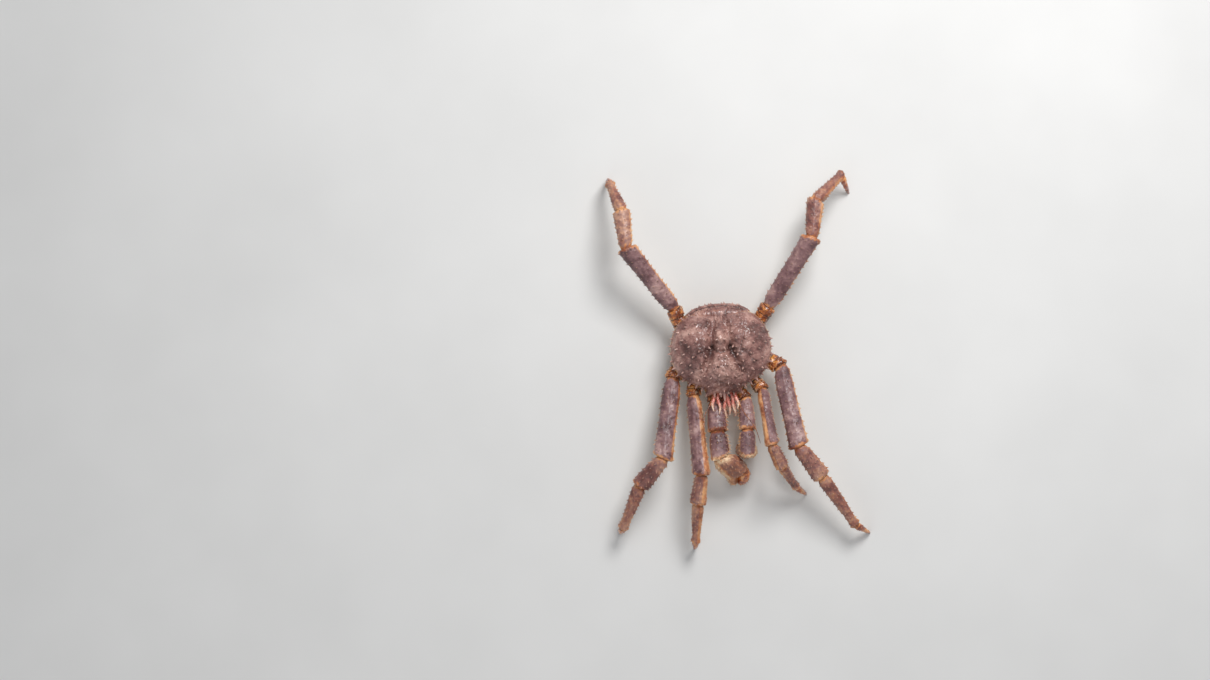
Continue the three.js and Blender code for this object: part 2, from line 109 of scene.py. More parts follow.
# The crab's own frame, in the millimetres of a shell 190 mm wide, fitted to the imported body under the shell
shell = {
    "halfWidth": 95, "dome": 42, "widest": 72, "underShare": 0.93,
    "outline": [[0, 0.86], [12, 0.87], [19, 0.93], [26, 0.84], [38, 0.85], [52, 0.92], [72, 0.99], [90, 1],
                [104, 1], [122, 0.99], [138, 0.95], [156, 0.79], [180, 0.71]],
    # the lower face from the widest line inward: share of the outline, height, roughness and paleness
    "lower": [[1.002, 70.5, 0.35, 0.8], [1.003, 69, 0.35, 0.8], [1.0, 67, 0.35, 0.75], [0.995, 65, 0.35, 0.7],
              [0.988, 63, 0.35, 0.6], [0.98, 61.4, 0.35, 0.5], [0.965, 60.4, 0.15, 0.5], [0.94, 60, 0, 0.5],
              [0.85, 60, 0, 0.5], [0.6, 60, 0, 0.5], [0.3, 60, 0, 0.5]],
}


def outlineReach(angle):
    # how far the outline lies from the middle, at an angle from the head
    turn = np.clip(np.abs(np.degrees(angle)), 0, 180)
    return shell["halfWidth"] * smoothThrough(turn, *zip(*shell["outline"]), flatEnds=True)


around = np.radians(np.linspace(0, 180, 721))
underLow, underHigh = (np.array(corner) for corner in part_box("underbody"))
widthNow = shell["underShare"] * 2 * (outlineReach(around) * np.sin(around)).max()
backNow = shell["underShare"] * (outlineReach(around) * -np.cos(around)).max()
mm = (underHigh[0] - underLow[0]) / widthNow
origin = vec((underLow[0] + underHigh[0]) / 2, underHigh[1] - backNow * mm, 0)


def inFrame(points):
    return np.asarray(points, float) * mm + origin


# Meshes: a skin gathers tubes, plates and spines, with marks on their vertices that the finishes read
markNames = ["tip", "pale", "warm", "dark", "wet"]


class Skin:
    def __init__(self):
        self.points, self.quads, self.tris = [], [], []
        self.quadPlaces, self.triPlaces = [], []
        self.marks = {name: [] for name in markNames}
        self.count = 0

    def add(self, points, quads, tris, quadPlaces, triPlaces, marks):
        quads, tris = np.asarray(quads).reshape(-1, 4), np.asarray(tris).reshape(-1, 3)
        quadPlaces, triPlaces = quadPlaces.reshape(-1, 4, 2), triPlaces.reshape(-1, 3, 2)
        corners = np.concatenate([quads[:, [0, 1, 2]], quads[:, [0, 2, 3]], tris])
        a, b, c = (points[corners[:, i]] - points.mean(0) for i in range(3))
        if (a * np.cross(b, c)).sum() < 0:  # turned so that the faces look outward
            quads, tris = quads[:, ::-1], tris[:, ::-1]
            quadPlaces, triPlaces = quadPlaces[:, ::-1], triPlaces[:, ::-1]
        self.points.append(points)
        self.quads.append(quads + self.count)
        self.tris.append(tris + self.count)
        self.quadPlaces.append(quadPlaces)
        self.triPlaces.append(triPlaces)
        for name in markNames:
            self.marks[name].append(np.broadcast_to(marks.get(name, 0.0), len(points)))
        self.count += len(points)

    def addTube(self, rings, marks, patch=(0, 0, 1, 1)):
        # rings of points, rows x columns, closed round and capped at both ends by a middle point
        rows, columns = rings.shape[:2]
        points = np.concatenate([rings.reshape(-1, 3), rings[0].mean(0)[None], rings[-1].mean(0)[None]])
        i, j = (a.ravel() for a in np.meshgrid(np.arange(rows - 1), np.arange(columns), indexing="ij"))
        k = (j + 1) % columns
        quads = np.stack([i * columns + j, i * columns + k, (i + 1) * columns + k, (i + 1) * columns + j], -1)
        ring = np.arange(columns)
        nextRing = (ring + 1) % columns
        last = (rows - 1) * columns
        firstCap = np.stack([nextRing, ring, np.full(columns, rows * columns)], -1)
        lastCap = np.stack([last + ring, last + nextRing, np.full(columns, rows * columns + 1)], -1)

        def at(row, column):
            u = mix(patch[0], patch[2], column / columns)
            v = mix(patch[1], patch[3], (row + 1) / (rows + 1))
            return np.stack(np.broadcast_arrays(u, v), -1)

        quadPlaces = np.stack([at(i, j), at(i, j + 1), at(i + 1, j + 1), at(i + 1, j)], 1)
        firstPlaces = np.stack([at(0, ring + 1), at(0, ring), at(-1, ring + 0.5)], 1)
        lastPlaces = np.stack([at(rows - 1, ring), at(rows - 1, ring + 1), at(rows, ring + 0.5)], 1)
        full = {}
        for name, mark in marks.items():
            mark = np.broadcast_to(mark, (rows, columns)).astype(float)
            full[name] = np.concatenate([mark.ravel(), [mark[0].mean(), mark[-1].mean()]])
        self.add(points, quads, np.concatenate([firstCap, lastCap]), quadPlaces,
                 np.concatenate([firstPlaces, lastPlaces]), full)

    def addSpines(self, spines, ground=None, patch=(0, 0.76, 1, 1), sides=9):
        # each spine is (place, direction, height, radius, bend): it takes the marks of the ground that it
        # stands on, and gets a small patch of the map of its own
        if not spines:
            return
        across = math.ceil(math.sqrt(len(spines) / (patch[3] - patch[1])))
        down = math.ceil(len(spines) / across)
        along, out = np.array(spineShape["profile"]).T
        for k, (place, direction, height, radius, bend) in enumerate(spines):
            corners = sides if radius < spineShape["stout"] else spineShape["stoutSides"]
            turn = np.arange(corners) / corners * 2 * np.pi
            direction = unitVector(direction)
            side = unitVector(np.cross(direction, vec(0.31, 0.52, 0.79)))
            other = np.cross(direction, side)
            ring = np.cos(turn)[:, None] * side + np.sin(turn)[:, None] * other
            straight, bent = (along * height)[:, None], (height * along.clip(0) ** 2)[:, None]
            middle = place + direction * straight + bend * bent
            rings = middle[:, None] + ring[None] * (out * radius)[:, None, None]
            u, v = (k % across) / across, (k // across) / down
            top = mix(patch[1], patch[3], v + 0.92 / down)
            cell = (u, mix(patch[1], patch[3], v), u + 0.92 / across, top)
            marks = {name: mark[k] for name, mark in (ground or {}).items()}
            marks["tip"] = along.clip(0.02)[:, None] ** 1.1
            root = spineShape["rootDark"] * (1 - ease(along, 0, 0.5))[:, None]
            marks["dark"] = marks.get("dark", 0) + root
            self.addTube(rings, marks, cell)

    def build(self, name, finish, slot, nodes=()):
        quads, tris = np.concatenate(self.quads), np.concatenate(self.tris)
        mesh = bpy.data.meshes.new(name)
        mesh.vertices.add(self.count)
        points = inFrame(np.concatenate(self.points))
        points[:, 2] = points[:, 2].clip(0)  # nothing reaches under the floor
        mesh.vertices.foreach_set("co", points.astype(np.float32).ravel())
        loops = np.concatenate([quads.ravel(), tris.ravel()]).astype(np.int32)
        starts = np.concatenate([np.arange(len(quads)) * 4, len(quads) * 4 + np.arange(len(tris)) * 3])
        mesh.loops.add(len(loops))
        mesh.loops.foreach_set("vertex_index", loops)
        mesh.polygons.add(len(starts))
        mesh.polygons.foreach_set("loop_start", starts.astype(np.int32))
        mesh.update(calc_edges=True)
        places = np.concatenate([np.concatenate(self.quadPlaces).reshape(-1, 2),
                                 np.concatenate(self.triPlaces).reshape(-1, 2)])
        mesh.uv_layers.new(name="OFBake").uv.foreach_set("vector", places.astype(np.float32).ravel())
        for mark in markNames:
            values = np.concatenate(self.marks[mark]).clip(0, 1).astype(np.float32)
            mesh.attributes.new(mark, "FLOAT", "POINT").data.foreach_set("value", values)
        mesh.shade_smooth()
        mesh.materials.append(finish)
        piece = bpy.data.objects.new(name, mesh)
        bpy.context.scene.collection.objects.link(piece)
        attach(piece, "root")
        if nodes:
            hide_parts(*nodes)
        return piece


# A spine's outline: share of its height, then share of its radius, flared at the root and sunk into the shell
spineShape = {
    "profile": [[-0.5, 1.1], [0, 1.12], [0.12, 0.9], [0.3, 0.69], [0.5, 0.51], [0.7, 0.35], [0.87, 0.21],
                [0.97, 0.1]],
    "skirtWidth": 2.5, "skirtHeight": 0.42, "rootDark": 0.25, "stout": 2.6, "stoutSides": 14,
}


def skirts(points, spines):
    # the shell swells up round the root of each spine
    centres = [place for place, *_ in spines]
    widths = [spineShape["skirtWidth"] * radius for _, _, _, radius, _ in spines]
    heights = [spineShape["skirtHeight"] * radius for _, _, _, radius, _ in spines]
    return bumpsAt(points, centres, widths, heights)


# Finishes

def tone(red, green, blue):
    # a colour as a picture holds it, in Blender's linear light
    shares = (red / 255, green / 255, blue / 255)
    return tuple(((c + 0.055) / 1.055) ** 2.4 if c > 0.04 else c / 12.92 for c in shares) + (1,)


def shadesOf(*steps):
    # steps of a colour ramp, each its place, red, green and blue
    return [(at, tone(*colour)) for at, *colour in steps]


class Finish:
    def __init__(self, name):
        self.material = bpy.data.materials.new(name)
        self.material.use_nodes = True
        self.tree = self.material.node_tree
        self.shader = self.tree.nodes["Principled BSDF"]
        self.place = self.add("ShaderNodeTexCoord").outputs["Object"]

    def add(self, kind, inputs=None, **settings):
        node = self.tree.nodes.new(kind)
        for key, value in settings.items():
            setattr(node, key, value)
        for key, value in (inputs or {}).items():
            self.set(node, key, value)
        return node

    def set(self, node, key, value):
        if isinstance(value, bpy.types.NodeSocket):
            self.tree.links.new(value, node.inputs[key])
        else:
            node.inputs[key].default_value = value

    def mark(self, name):
        return self.add("ShaderNodeAttribute", attribute_name=name).outputs["Fac"]

    def noise(self, scale, detail=4.0, roughness=0.55, twist=0.0):
        inputs = {"Vector": self.place, "Scale": scale, "Detail": detail}
        inputs.update(Roughness=roughness, Distortion=twist)
        return self.add("ShaderNodeTexNoise", inputs).outputs["Fac"]

    def cells(self, scale):
        return self.add("ShaderNodeTexVoronoi", {"Vector": self.place, "Scale": scale}).outputs["Distance"]

    def maths(self, what, a, b=0.5, clamp=False):
        return self.add("ShaderNodeMath", {0: a, 1: b}, operation=what, use_clamp=clamp).outputs[0]

    def between(self, value, low, high, lowOut=0.0, highOut=1.0):
        inputs = {"Value": value, "From Min": low, "From Max": high, "To Min": lowOut, "To Max": highOut}
        return self.add("ShaderNodeMapRange", inputs, interpolation_type="SMOOTHSTEP").outputs["Result"]

    def blend(self, share, a, b, how="MIX"):
        node = self.add("ShaderNodeMix", {0: share, 6: a, 7: b}, data_type="RGBA", blend_type=how)
        return node.outputs[2]

    def ramp(self, value, stops):
        node = self.add("ShaderNodeValToRGB", {"Fac": value})
        elements = node.color_ramp.elements
        while len(elements) < len(stops):
            elements.new(0.5)
        for element, (at, colour) in zip(elements, stops):
            element.position = at
            element.color = colour
        return node.outputs["Color"]


def crustFinish(name, look):
    # crab shell: clouded ground, warm and pale areas with ragged edges, pale spines, dark pores, painted
    # shade in hollows with the darker colour where marked dark, and a wet coat
    f = Finish(name)
    broad = f.noise(look["broad"], 3.0, 0.6, 0.4)
    fine = f.noise(look["fine"], 5.0, 0.65)
    clouded = f.maths("ADD", f.maths("MULTIPLY", broad, 0.72), f.maths("MULTIPLY", fine, 0.28))
    colour = f.ramp(f.between(clouded, 0.31, 0.69), look["shades"])
    ragged = f.maths("MULTIPLY", f.maths("SUBTRACT", fine, 0.5), look["ragged"])
    warm = f.between(f.maths("ADD", f.mark("warm"), ragged), 0.2, 0.8)
    warmShade = f.ramp(f.between(broad, 0.36, 0.64), look["warmShades"])
    colour = f.blend(warm, colour, warmShade)
    pale = f.between(f.maths("ADD", f.mark("pale"), ragged), 0.2, 0.85)
    paleShade = f.ramp(f.between(fine, 0.35, 0.65), look["paleShades"])
    colour = f.blend(pale, colour, paleShade)
    # pale tips of spines and granules, and over the shell's humps a painted highlight
    tip = f.between(f.mark("tip"), 0.06, 0.95, 0.0, look["tipShare"])
    colour = f.blend(tip, colour, look["tip"])
    pores = f.cells(look["pores"])
    pore = f.maths("MULTIPLY", f.between(pores, 0.12, 0.3, 1.0, 0.0), look["poreShade"])
    colour = f.blend(pore, colour, look["dark"])
    # the dark mark: painted shade in grooves, creases, cuts and folds, and the darker colour of toe tips and
    # antenna bands
    darkAndShade = f.maths("MULTIPLY", f.between(f.maths("ADD", f.mark("dark"), ragged), 0.1, 0.9), look["darkAndShade"])
    colour = f.blend(darkAndShade, colour, look["dark"])
    f.set(f.shader, "Base Color", colour)
    wet = f.noise(look["broad"] * 2.3, 4.0, 0.6)
    rough = f.between(wet, 0.35, 0.65, look["rough"][0], look["rough"][1])
    f.set(f.shader, "Roughness", f.maths("MULTIPLY", rough, f.between(f.mark("wet"), 0.0, 1.0, 1.0, 0.4)))
    f.set(f.shader, "Coat Weight", look["coat"])
    f.set(f.shader, "Coat Roughness", look["coatRough"])
    f.set(f.shader, "Specular IOR Level", look["gloss"])
    pitted = f.maths("MULTIPLY", f.between(pores, 0.05, 0.35), 0.6)
    grain = f.maths("ADD", f.noise(look["fine"] * 2.1, 4.0, 0.6), pitted)
    bump = f.add("ShaderNodeBump", {"Height": grain, "Strength": look["bump"], "Distance": look["grain"]})
    f.set(f.shader, "Normal", bump.outputs["Normal"])
    return f.material


crustLook = {
    "broad": 30.0, "fine": 200.0, "ragged": 0.9, "pores": 330.0, "poreShade": 0.18, "darkAndShade": 0.8,
    "shades": shadesOf((0, 80, 50, 45), (0.4, 125, 85, 79), (0.7, 157, 115, 106), (1, 194, 154, 142)),
    "warmShades": shadesOf((0, 104, 52, 28), (0.45, 172, 92, 44), (1, 216, 150, 82)),
    "paleShades": shadesOf((0, 200, 148, 106), (1, 236, 210, 172)),
    "tip": tone(214, 174, 158), "tipShare": 0.55, "dark": tone(54, 31, 28),
    "rough": (0.32, 0.5), "coat": 0.3, "coatRough": 0.2, "gloss": 0.5, "bump": 0.3, "grain": 0.0004,
}
legLook = dict(
    crustLook, broad=26.0, fine=150.0,
    shades=shadesOf((0, 80, 50, 51), (0.35, 113, 79, 81), (0.7, 140, 105, 104), (1, 174, 139, 133)),
    warmShades=shadesOf((0, 128, 66, 42), (0.45, 176, 105, 65), (1, 216, 156, 104)), ragged=0.65,
    tip=tone(224, 178, 138), rough=(0.42, 0.56), coat=0.2, coatRough=0.3, bump=0.12,
    pores=260.0, poreShade=0.15, darkAndShade=0.75,
)
hipLook = dict(
    crustLook, broad=75.0, fine=260.0, ragged=1.2,
    shades=shadesOf((0, 70, 30, 18), (0.35, 130, 64, 30), (0.68, 182, 106, 48), (1, 226, 170, 98)),
    warmShades=shadesOf((0, 70, 30, 16), (0.45, 138, 66, 30), (1, 198, 120, 54)),
    tip=tone(240, 208, 160), rough=(0.22, 0.45), coat=0.45, coatRough=0.16, darkAndShade=0.9, poreShade=0.2,
)
toeLook = dict(
    crustLook, broad=60.0, fine=190.0,
    shades=shadesOf((0, 98, 40, 26), (0.5, 150, 76, 46), (1, 200, 128, 80)),
    warmShades=shadesOf((0, 130, 52, 22), (0.45, 188, 94, 40), (1, 228, 152, 78)),
    tip=tone(240, 206, 160), rough=(0.16, 0.36), coat=0.55, coatRough=0.12, bump=0.2, poreShade=0.1,
)
bellyLook = dict(
    crustLook, broad=45.0, fine=200.0,
    shades=shadesOf((0, 190, 138, 100), (0.5, 218, 178, 138), (1, 236, 212, 180)),
    tip=tone(240, 222, 196), rough=(0.4, 0.6), coat=0.15, coatRough=0.3, poreShade=0.12,
)
mouthLook = dict(
    crustLook, broad=110.0, fine=420.0,
    shades=shadesOf((0, 162, 74, 66), (0.5, 208, 118, 104), (1, 232, 170, 150)),
    paleShades=shadesOf((0, 228, 176, 148), (1, 244, 222, 198)),
    tip=tone(246, 222, 196), rough=(0.2, 0.42), coat=0.4, coatRough=0.16, bump=0.2, poreShade=0.06,
)
clawLook = dict(
    legLook, ragged=1.0,
    shades=shadesOf((0, 116, 76, 66), (0.35, 152, 108, 94), (0.7, 180, 136, 118), (1, 206, 168, 148)),
    warmShades=shadesOf((0, 170, 98, 54), (0.45, 210, 142, 88), (1, 238, 194, 136)),
)
jointLook = dict(
    crustLook, broad=95.0, fine=380.0,
    shades=shadesOf((0, 112, 56, 34), (0.5, 176, 104, 62), (1, 222, 160, 104)),
    rough=(0.4, 0.6), coat=0.15, coatRough=0.3, bump=0.4, poreShade=0.15,
)


def eyeFinish():
    f = Finish("eyeJet")
    facets = f.cells(2600.0)
    jet = f.ramp(f.noise(240.0), shadesOf((0.3, 14, 9, 8), (0.75, 40, 24, 20)))
    stalk = f.ramp(f.noise(700.0, 4.0), shadesOf((0.35, 104, 52, 34), (0.7, 178, 110, 76)))
    f.set(f.shader, "Base Color", f.blend(f.between(f.mark("warm"), 0.3, 0.6), jet, stalk))
    f.set(f.shader, "Roughness", f.between(facets, 0.1, 0.5, 0.08, 0.2))
    f.set(f.shader, "Coat Weight", 0.8)
    f.set(f.shader, "Coat Roughness", 0.05)
    bump = f.add("ShaderNodeBump", {"Height": facets, "Strength": 0.15, "Distance": 0.0001})
    f.set(f.shader, "Normal", bump.outputs["Normal"])
    return f.material


finishes = {
    "shell": crustFinish("shellMauve", crustLook), "limb": crustFinish("legMauve", legLook),
    "hip": crustFinish("hipAmber", hipLook), "toe": crustFinish("toeHorn", toeLook),
    "belly": crustFinish("bellyCream", bellyLook), "mouth": crustFinish("mouthRose", mouthLook),
    "claw": crustFinish("clawTan", clawLook), "joint": crustFinish("jointSkin", jointLook),
    "eye": eyeFinish(),
}
print("finishes made:", len(finishes))


# The shell's upper face
relief = {
    # across, along, half width, half length and height of swellings and lobes, alike on both sides
    "swellings": [[0, -42, 21, 28, 11], [0, 23, 11, 17, 12], [54, 16, 26, 36, 9], [0, 58, 30, 7, 3]],
    "lobes": [[14, -50, 11, 14, 1.6], [40, -46, 12, 12, 1.8], [66, -18, 12, 16, 1.6], [42, 34, 14, 16, 1.8],
              [70, 26, 12, 18, 1.4], [24, 46, 9, 8, 1.4], [0, 40, 8, 7, 1.2], [0, 12, 8, 7, 1.3]],
    "lobeSink": 0.35,
    # the deep groove carries painted shade, darkest beside the heart, and darker on the left
    "groove": {"depth": 8.5, "wide": 6.5, "line": [[9, 58], [16, 30], [17, 6], [29, -30], [47, -56]],
               "dark": [0.1, 0.55], "darkWide": 4.55, "darkest": [2, 24], "sides": [0.75, 1.3]},
    # depth, width, darkness of painted shade and line of each crease, and height, width and line of each
    # ridge
    "creases": [[3.4, 4, 0.42, [[0, -4], [9, -2], [17, 6]]],
                [1.6, 3, 0.2, [[17, 6], [44, -6], [70, -34], [86, -40]]],
                [1.6, 3, 0.2, [[13, 44], [34, 62]]], [1.2, 2.6, 0.1, [[6, -14], [10, -34], [8, -60]]],
                [1.3, 2.6, 0.16, [[30, -30], [58, -36]]], [1.3, 2.6, 0.16, [[36, 4], [46, 34], [60, 58]]]],
    "ridges": [[3, 5, [[8, -9], [19, -30], [33, -54]]], [1.6, 5, [[30, 4], [40, -22], [58, -48]]],
               [1.4, 6, [[26, 40], [46, 22], [74, 14]]]],
    # place, width and depth of the pit, and the painted shade over it
    "pit": {"place": [21, 6], "wide": 11, "depth": 3, "dark": 0.16, "darkWide": 15.4},
    # painted shade over flats beside the humps: across, along, width and darkness
    "shaded": [[50, -24, 24, 0.22], [72, 4, 20, 0.16], [30, 0, 14, 0.3]],
    # the humps and the first ridge, made glossier and also paler, the paleness a painted highlight
    "glossAndHighlight": [[0, -42, 21, 28, 1], [0, 23, 11, 17, 1], [50, 34, 18, 16, 0.5]], "glossAndHighlightRidge": [0.7, 7],
    # size and height of two rounds of unevenness; count, widths and height for its width of the granules
    "unevenness": [[22, 0.6], [9, 0.3]], "granules": [520, 1.3, 2.4, 0.26],
    "pores": [90, 2, 3.6], "poreDepth": 0.9,
    "pleats": {"count": 7, "halfWidth": 20, "from": 44, "to": 52, "depth": 0.9},
    "flatRim": [0.93, 1], "cells": 228, "map": [0.7, 0.755],
}
spread = {
    # the stout pairs beside the middle, the big spines over the sides, the small ones between, the edge's
    "pairs": [[5, 4], [6.5, 20], [6, 36], [6, -14], [7, -28], [16, -36], [7, -46], [22, -50],
              [9, -62], [27, -66]],
    "pairSize": [5.6, 3.2], "bigCount": 84, "bigSize": [5.2, 3.1], "bigReach": 0.92, "clearOfMiddle": 14,
    "clearOfPairs": 10, "smallCount": 420, "smallSize": [1.6, 1.3], "clearOfBig": 5.4, "reach": 0.965,
    "edgeCount": 42, "edgeSize": [6, 2.9], "edgeShare": 0.985, "edgeLean": 1.1,
    "underEdge": {"count": 54, "share": 0.992, "height": 67, "size": [3.2, 1.7]},
    "ringDark": 0.42, "ringWidth": 2.1, "ringFrom": 2.2,
}
goldenAngle = math.pi * (3 - math.sqrt(5))


def hump(x, y, wide, long):
    return np.exp(-((x / wide) ** 2 + (y / long) ** 2))


def fromLine(x, y, line):
    nearest = np.full(np.shape(x), 1e9)
    for (ax, ay), (bx, by) in zip(line, line[1:]):
        t = np.clip(((x - ax) * (bx - ax) + (y - ay) * (by - ay)) / ((bx - ax) ** 2 + (by - ay) ** 2), 0, 1)
        nearest = np.minimum(nearest, np.hypot(x - ax - t * (bx - ax), y - ay - t * (by - ay)))
    return nearest


def shellHeight(x, y, share):
    side = np.abs(x)
    total = np.zeros(np.shape(x))
    for sx, sy, wide, long, up in relief["swellings"]:
        total += up * hump(side - sx, y - sy, wide, long)
    for sx, sy, wide, long, up in relief["lobes"]:
        total += up * (hump(side - sx, y - sy, wide, long) - relief["lobeSink"])
    groove = relief["groove"]
    total -= groove["depth"] * np.exp(-((fromLine(side, y, groove["line"]) / groove["wide"]) ** 2))
    for deep, wide, _, line in relief["creases"]:
        total -= deep * np.exp(-((fromLine(side, y, line) / wide) ** 2))
    for up, wide, line in relief["ridges"]:
        total += up * np.exp(-((fromLine(side, y, line) / wide) ** 2))
    pit = relief["pit"]
    total -= pit["depth"] * hump(side - pit["place"][0], y - pit["place"][1], pit["wide"], pit["wide"])
    dome = (1 - np.minimum(1, share) ** 2.5) ** 0.6
    return shell["widest"] + shell["dome"] * dome + total * (1 - share**4)


def shellShare(x, y):
    return np.hypot(x, y) / outlineReach(np.arctan2(x, -y))


def shellPoint(angle, share):
    reach = outlineReach(angle) * share
    x, y = np.sin(angle) * reach, -np.cos(angle) * reach
    step = 1.5

    def slope(dx, dy):
        near = ((x + way * dx, y + way * dy) for way in (step, -step))
        ahead, behind = (shellHeight(*spot, shellShare(*spot)) for spot in near)
        return (ahead - behind) / 2 / step

    normal = unitVector(np.stack([-slope(1, 0), -slope(0, 1), np.ones_like(x)], -1))
    return np.stack([x, y, shellHeight(x, y, share)], -1), normal


def shellSpines(draw):
    spines = []

    def stand(angle, share, size, lean, bend):
        place, normal = shellPoint(np.float64(angle), np.float64(share))
        grown = draw.uniform(0.8, 1.15)
        spines.append((place, normal + lean, size[0] * grown, size[1] * grown, np.array(bend)))

    for x, y in spread["pairs"]:
        for side in (1, -1):
            angle = math.atan2(side * (x + draw.uniform(-0.7, 0.7)), -y)
            share = math.hypot(x, y) / outlineReach(angle)
            stand(angle, share, spread["pairSize"], vec(0, -0.1, 0), (0, -0.08, 0))
    for k in range(spread["bigCount"]):
        share = math.sqrt((k + 0.5) / spread["bigCount"]) * spread["bigReach"]
        angle = math.atan2(math.sin(k * goldenAngle), math.cos(k * goldenAngle))
        reach = outlineReach(angle) * share
        x, y = math.sin(angle) * reach, -math.cos(angle) * reach
        nearPair = any(math.hypot(x - px, y - py) < spread["clearOfPairs"] for px, py in spread["pairs"])
        if x > spread["clearOfMiddle"] and not nearPair:
            for side in (1, -1):
                turned = side * angle + draw.uniform(-0.02, 0.02)
                lean = vec(math.sin(turned) * 0.12, -0.08, 0)
                stand(turned, share, spread["bigSize"], lean, (math.sin(turned) * 0.1, -0.1, 0))
    for k in range(spread["edgeCount"]):
        angle = ((k + 0.5) / spread["edgeCount"]) * 2 * math.pi - math.pi
        outward = vec(math.sin(angle), -math.cos(angle), 0)
        forward = mix(0.75, 1.25, (1 + math.cos(angle)) / 2)
        size = [s * forward for s in spread["edgeSize"]]
        stand(angle, spread["edgeShare"], size, outward * spread["edgeLean"], outward * 0.1 + vec(0, -0.1, 0))
    big = np.array([place for place, *_ in spines])
    for k in range(spread["smallCount"]):
        share = math.sqrt((k + 0.5) / spread["smallCount"]) * spread["reach"]
        turned = k * goldenAngle + draw.uniform(-0.03, 0.03)
        angle = math.atan2(math.sin(turned), math.cos(turned))
        place, _ = shellPoint(np.float64(angle), np.float64(share))
        apart = np.linalg.norm(big - place, axis=1).min()
        if apart > spread["clearOfBig"]:
            size = [s * mix(0.55, 1.35, draw.random()) for s in spread["smallSize"]]
            lean = vec(math.sin(angle) * 0.1, -0.1, 0)
            stand(angle, share, size, lean, (0, -0.1, 0))
    low = spread["underEdge"]
    for k in range(low["count"]):
        angle = (k / low["count"]) * 2 * math.pi - math.pi
        outward = vec(math.sin(angle), -math.cos(angle), 0)
        place = outward * outlineReach(angle) * low["share"] + vec(0, 0, low["height"])
        height = low["size"][0] * draw.uniform(0.7, 1.3)
        spines.append((place, outward + vec(0, 0, -0.1), height, low["size"][1], vec(0, 0, 0.1)))
    return spines


# The beak between the eyes: its main spine, and the place and height of the spines beside and above it
beak = {
    "root": [0, -79, 76], "size": [19, 5.4], "sides": [[6, -77, 78, 9], [11, -75, 76, 6]], "sideStout": 0.34,
    "top": [0, -73, 84, 9], "topStout": 0.36,
}


def beakSpines():
    height, radius = beak["size"]
    spines = [(vec(*beak["root"]), vec(0, -1, 0.3), height, radius, vec(0, 0, 0.12))]
    for x, y, z, tall in beak["sides"]:
        for side in (1, -1):
            way = vec(side * 0.45, -1, 0.55)
            spines.append((vec(side * x, y, z), way, tall, tall * beak["sideStout"], vec(0, 0, 0.1)))
    x, y, z, tall = beak["top"]
    spines.append((vec(x, y, z), vec(0, -0.7, 0.8), tall, tall * beak["topStout"], vec(0, -0.1, 0)))
    return spines


def squareInDisc(cells):
    # a square grid bent into a disc, so that its cells stay much alike
    line = np.linspace(-1, 1, cells + 1)
    a, b = np.meshgrid(line, line, indexing="ij")
    wide = np.abs(a) > np.abs(b)
    radius = np.where(wide, a, b)
    with np.errstate(divide="ignore", invalid="ignore"):
        turn = np.where(wide, (np.pi / 4) * (b / a), np.pi / 2 - (np.pi / 4) * (a / b))
    turn = np.nan_to_num(turn)
    return radius * np.cos(turn), radius * np.sin(turn), line


def gridNormals(points, closed):
    down = np.gradient(points, axis=0)
    across = (np.roll(points, -1, 1) - np.roll(points, 1, 1)) if closed else np.gradient(points, axis=1)
    return unitVector(np.cross(down, across) + 1e-12)


def scatter(draw, points, count, narrow, broad, rise=None):
    # round bumps at random places on a grid of points, as high as rise times their width, or else 1 high
    at = draw.integers(0, points.shape[0], (count, 2))
    wide = draw.uniform(narrow, broad, count)
    return bumpsAt(points, points[at[:, 0], at[:, 1]], wide, wide * rise if rise else np.ones(count))


def pleatsAt(x, y):
    # the fine folds in the middle of the rear slope
    look = relief["pleats"]
    folds = 0.5 - 0.5 * np.cos(x * np.pi * look["count"] / look["halfWidth"])
    aside = ease(np.abs(x), 0.6 * look["halfWidth"], look["halfWidth"])
    return folds * (1 - aside) * ease(y, look["from"], look["to"])


def shellDarkness(top, x, y, spines):
    # painted shade in the grooves, creases and pit and on shaded flats, and dark rings round the stout spines
    side = np.abs(x)
    groove, pit = relief["groove"], relief["pit"]
    middle, long = groove["darkest"]
    along = np.exp(-(((y - middle) / long) ** 2)) * mix(*groove["sides"], ease(x, -10, 10))
    away = fromLine(side, y, groove["line"]) / groove["darkWide"]
    dark = mix(*groove["dark"], along) * np.exp(-(away**2))
    for _, wide, shade, line in relief["creases"]:
        dark += shade * np.exp(-((fromLine(side, y, line) / wide) ** 2))
    dark += pit["dark"] * hump(side - pit["place"][0], y - pit["place"][1], pit["darkWide"], pit["darkWide"])
    for sx, sy, wide, shade in relief["shaded"]:
        dark += shade * hump(side - sx, y - sy, wide, wide)
    stout = [spine for spine in spines if spine[3] > spread["ringFrom"] and spine[0][2] > shell["widest"] - 2]
    widths = [spread["ringWidth"] * radius for _, _, _, radius, _ in stout]
    rings = bumpsAt(top, [place for place, *_ in stout], widths, np.ones(len(stout)))
    return dark + spread["ringDark"] * rings.clip(0, 1) ** 0.7


def shellMarks(top, x, y, share, spines, granules, pores, folds):
    side = np.abs(x)
    glossAndHighlight = sum(much * hump(side - sx, y - sy, wide, long) for sx, sy, wide, long, much in relief["glossAndHighlight"])
    much, wide = relief["glossAndHighlightRidge"]
    glossAndHighlight += much * np.exp(-((fromLine(x, y, relief["ridges"][0][2]) / wide) ** 2))
    # painted shade in the pores and the folds' troughs as well
    dark = shellDarkness(top, x, y, spines) + 0.5 * pores.clip(0, 1) + 0.4 * folds
    # the tip mark also lightens the glossy humps and ridge, a painted highlight
    return {"dark": dark.clip(0, 1), "wet": glossAndHighlight.clip(0, 1),
            "tip": (granules / 1.4).clip(0, 0.2) * (1 - pores.clip(0, 1)) + 0.5 * glossAndHighlight.clip(0, 1),
            "pale": 0.75 * ease(share, 0.982, 1.0), "warm": 0.45 * ease(share, 0.94, 0.99)}


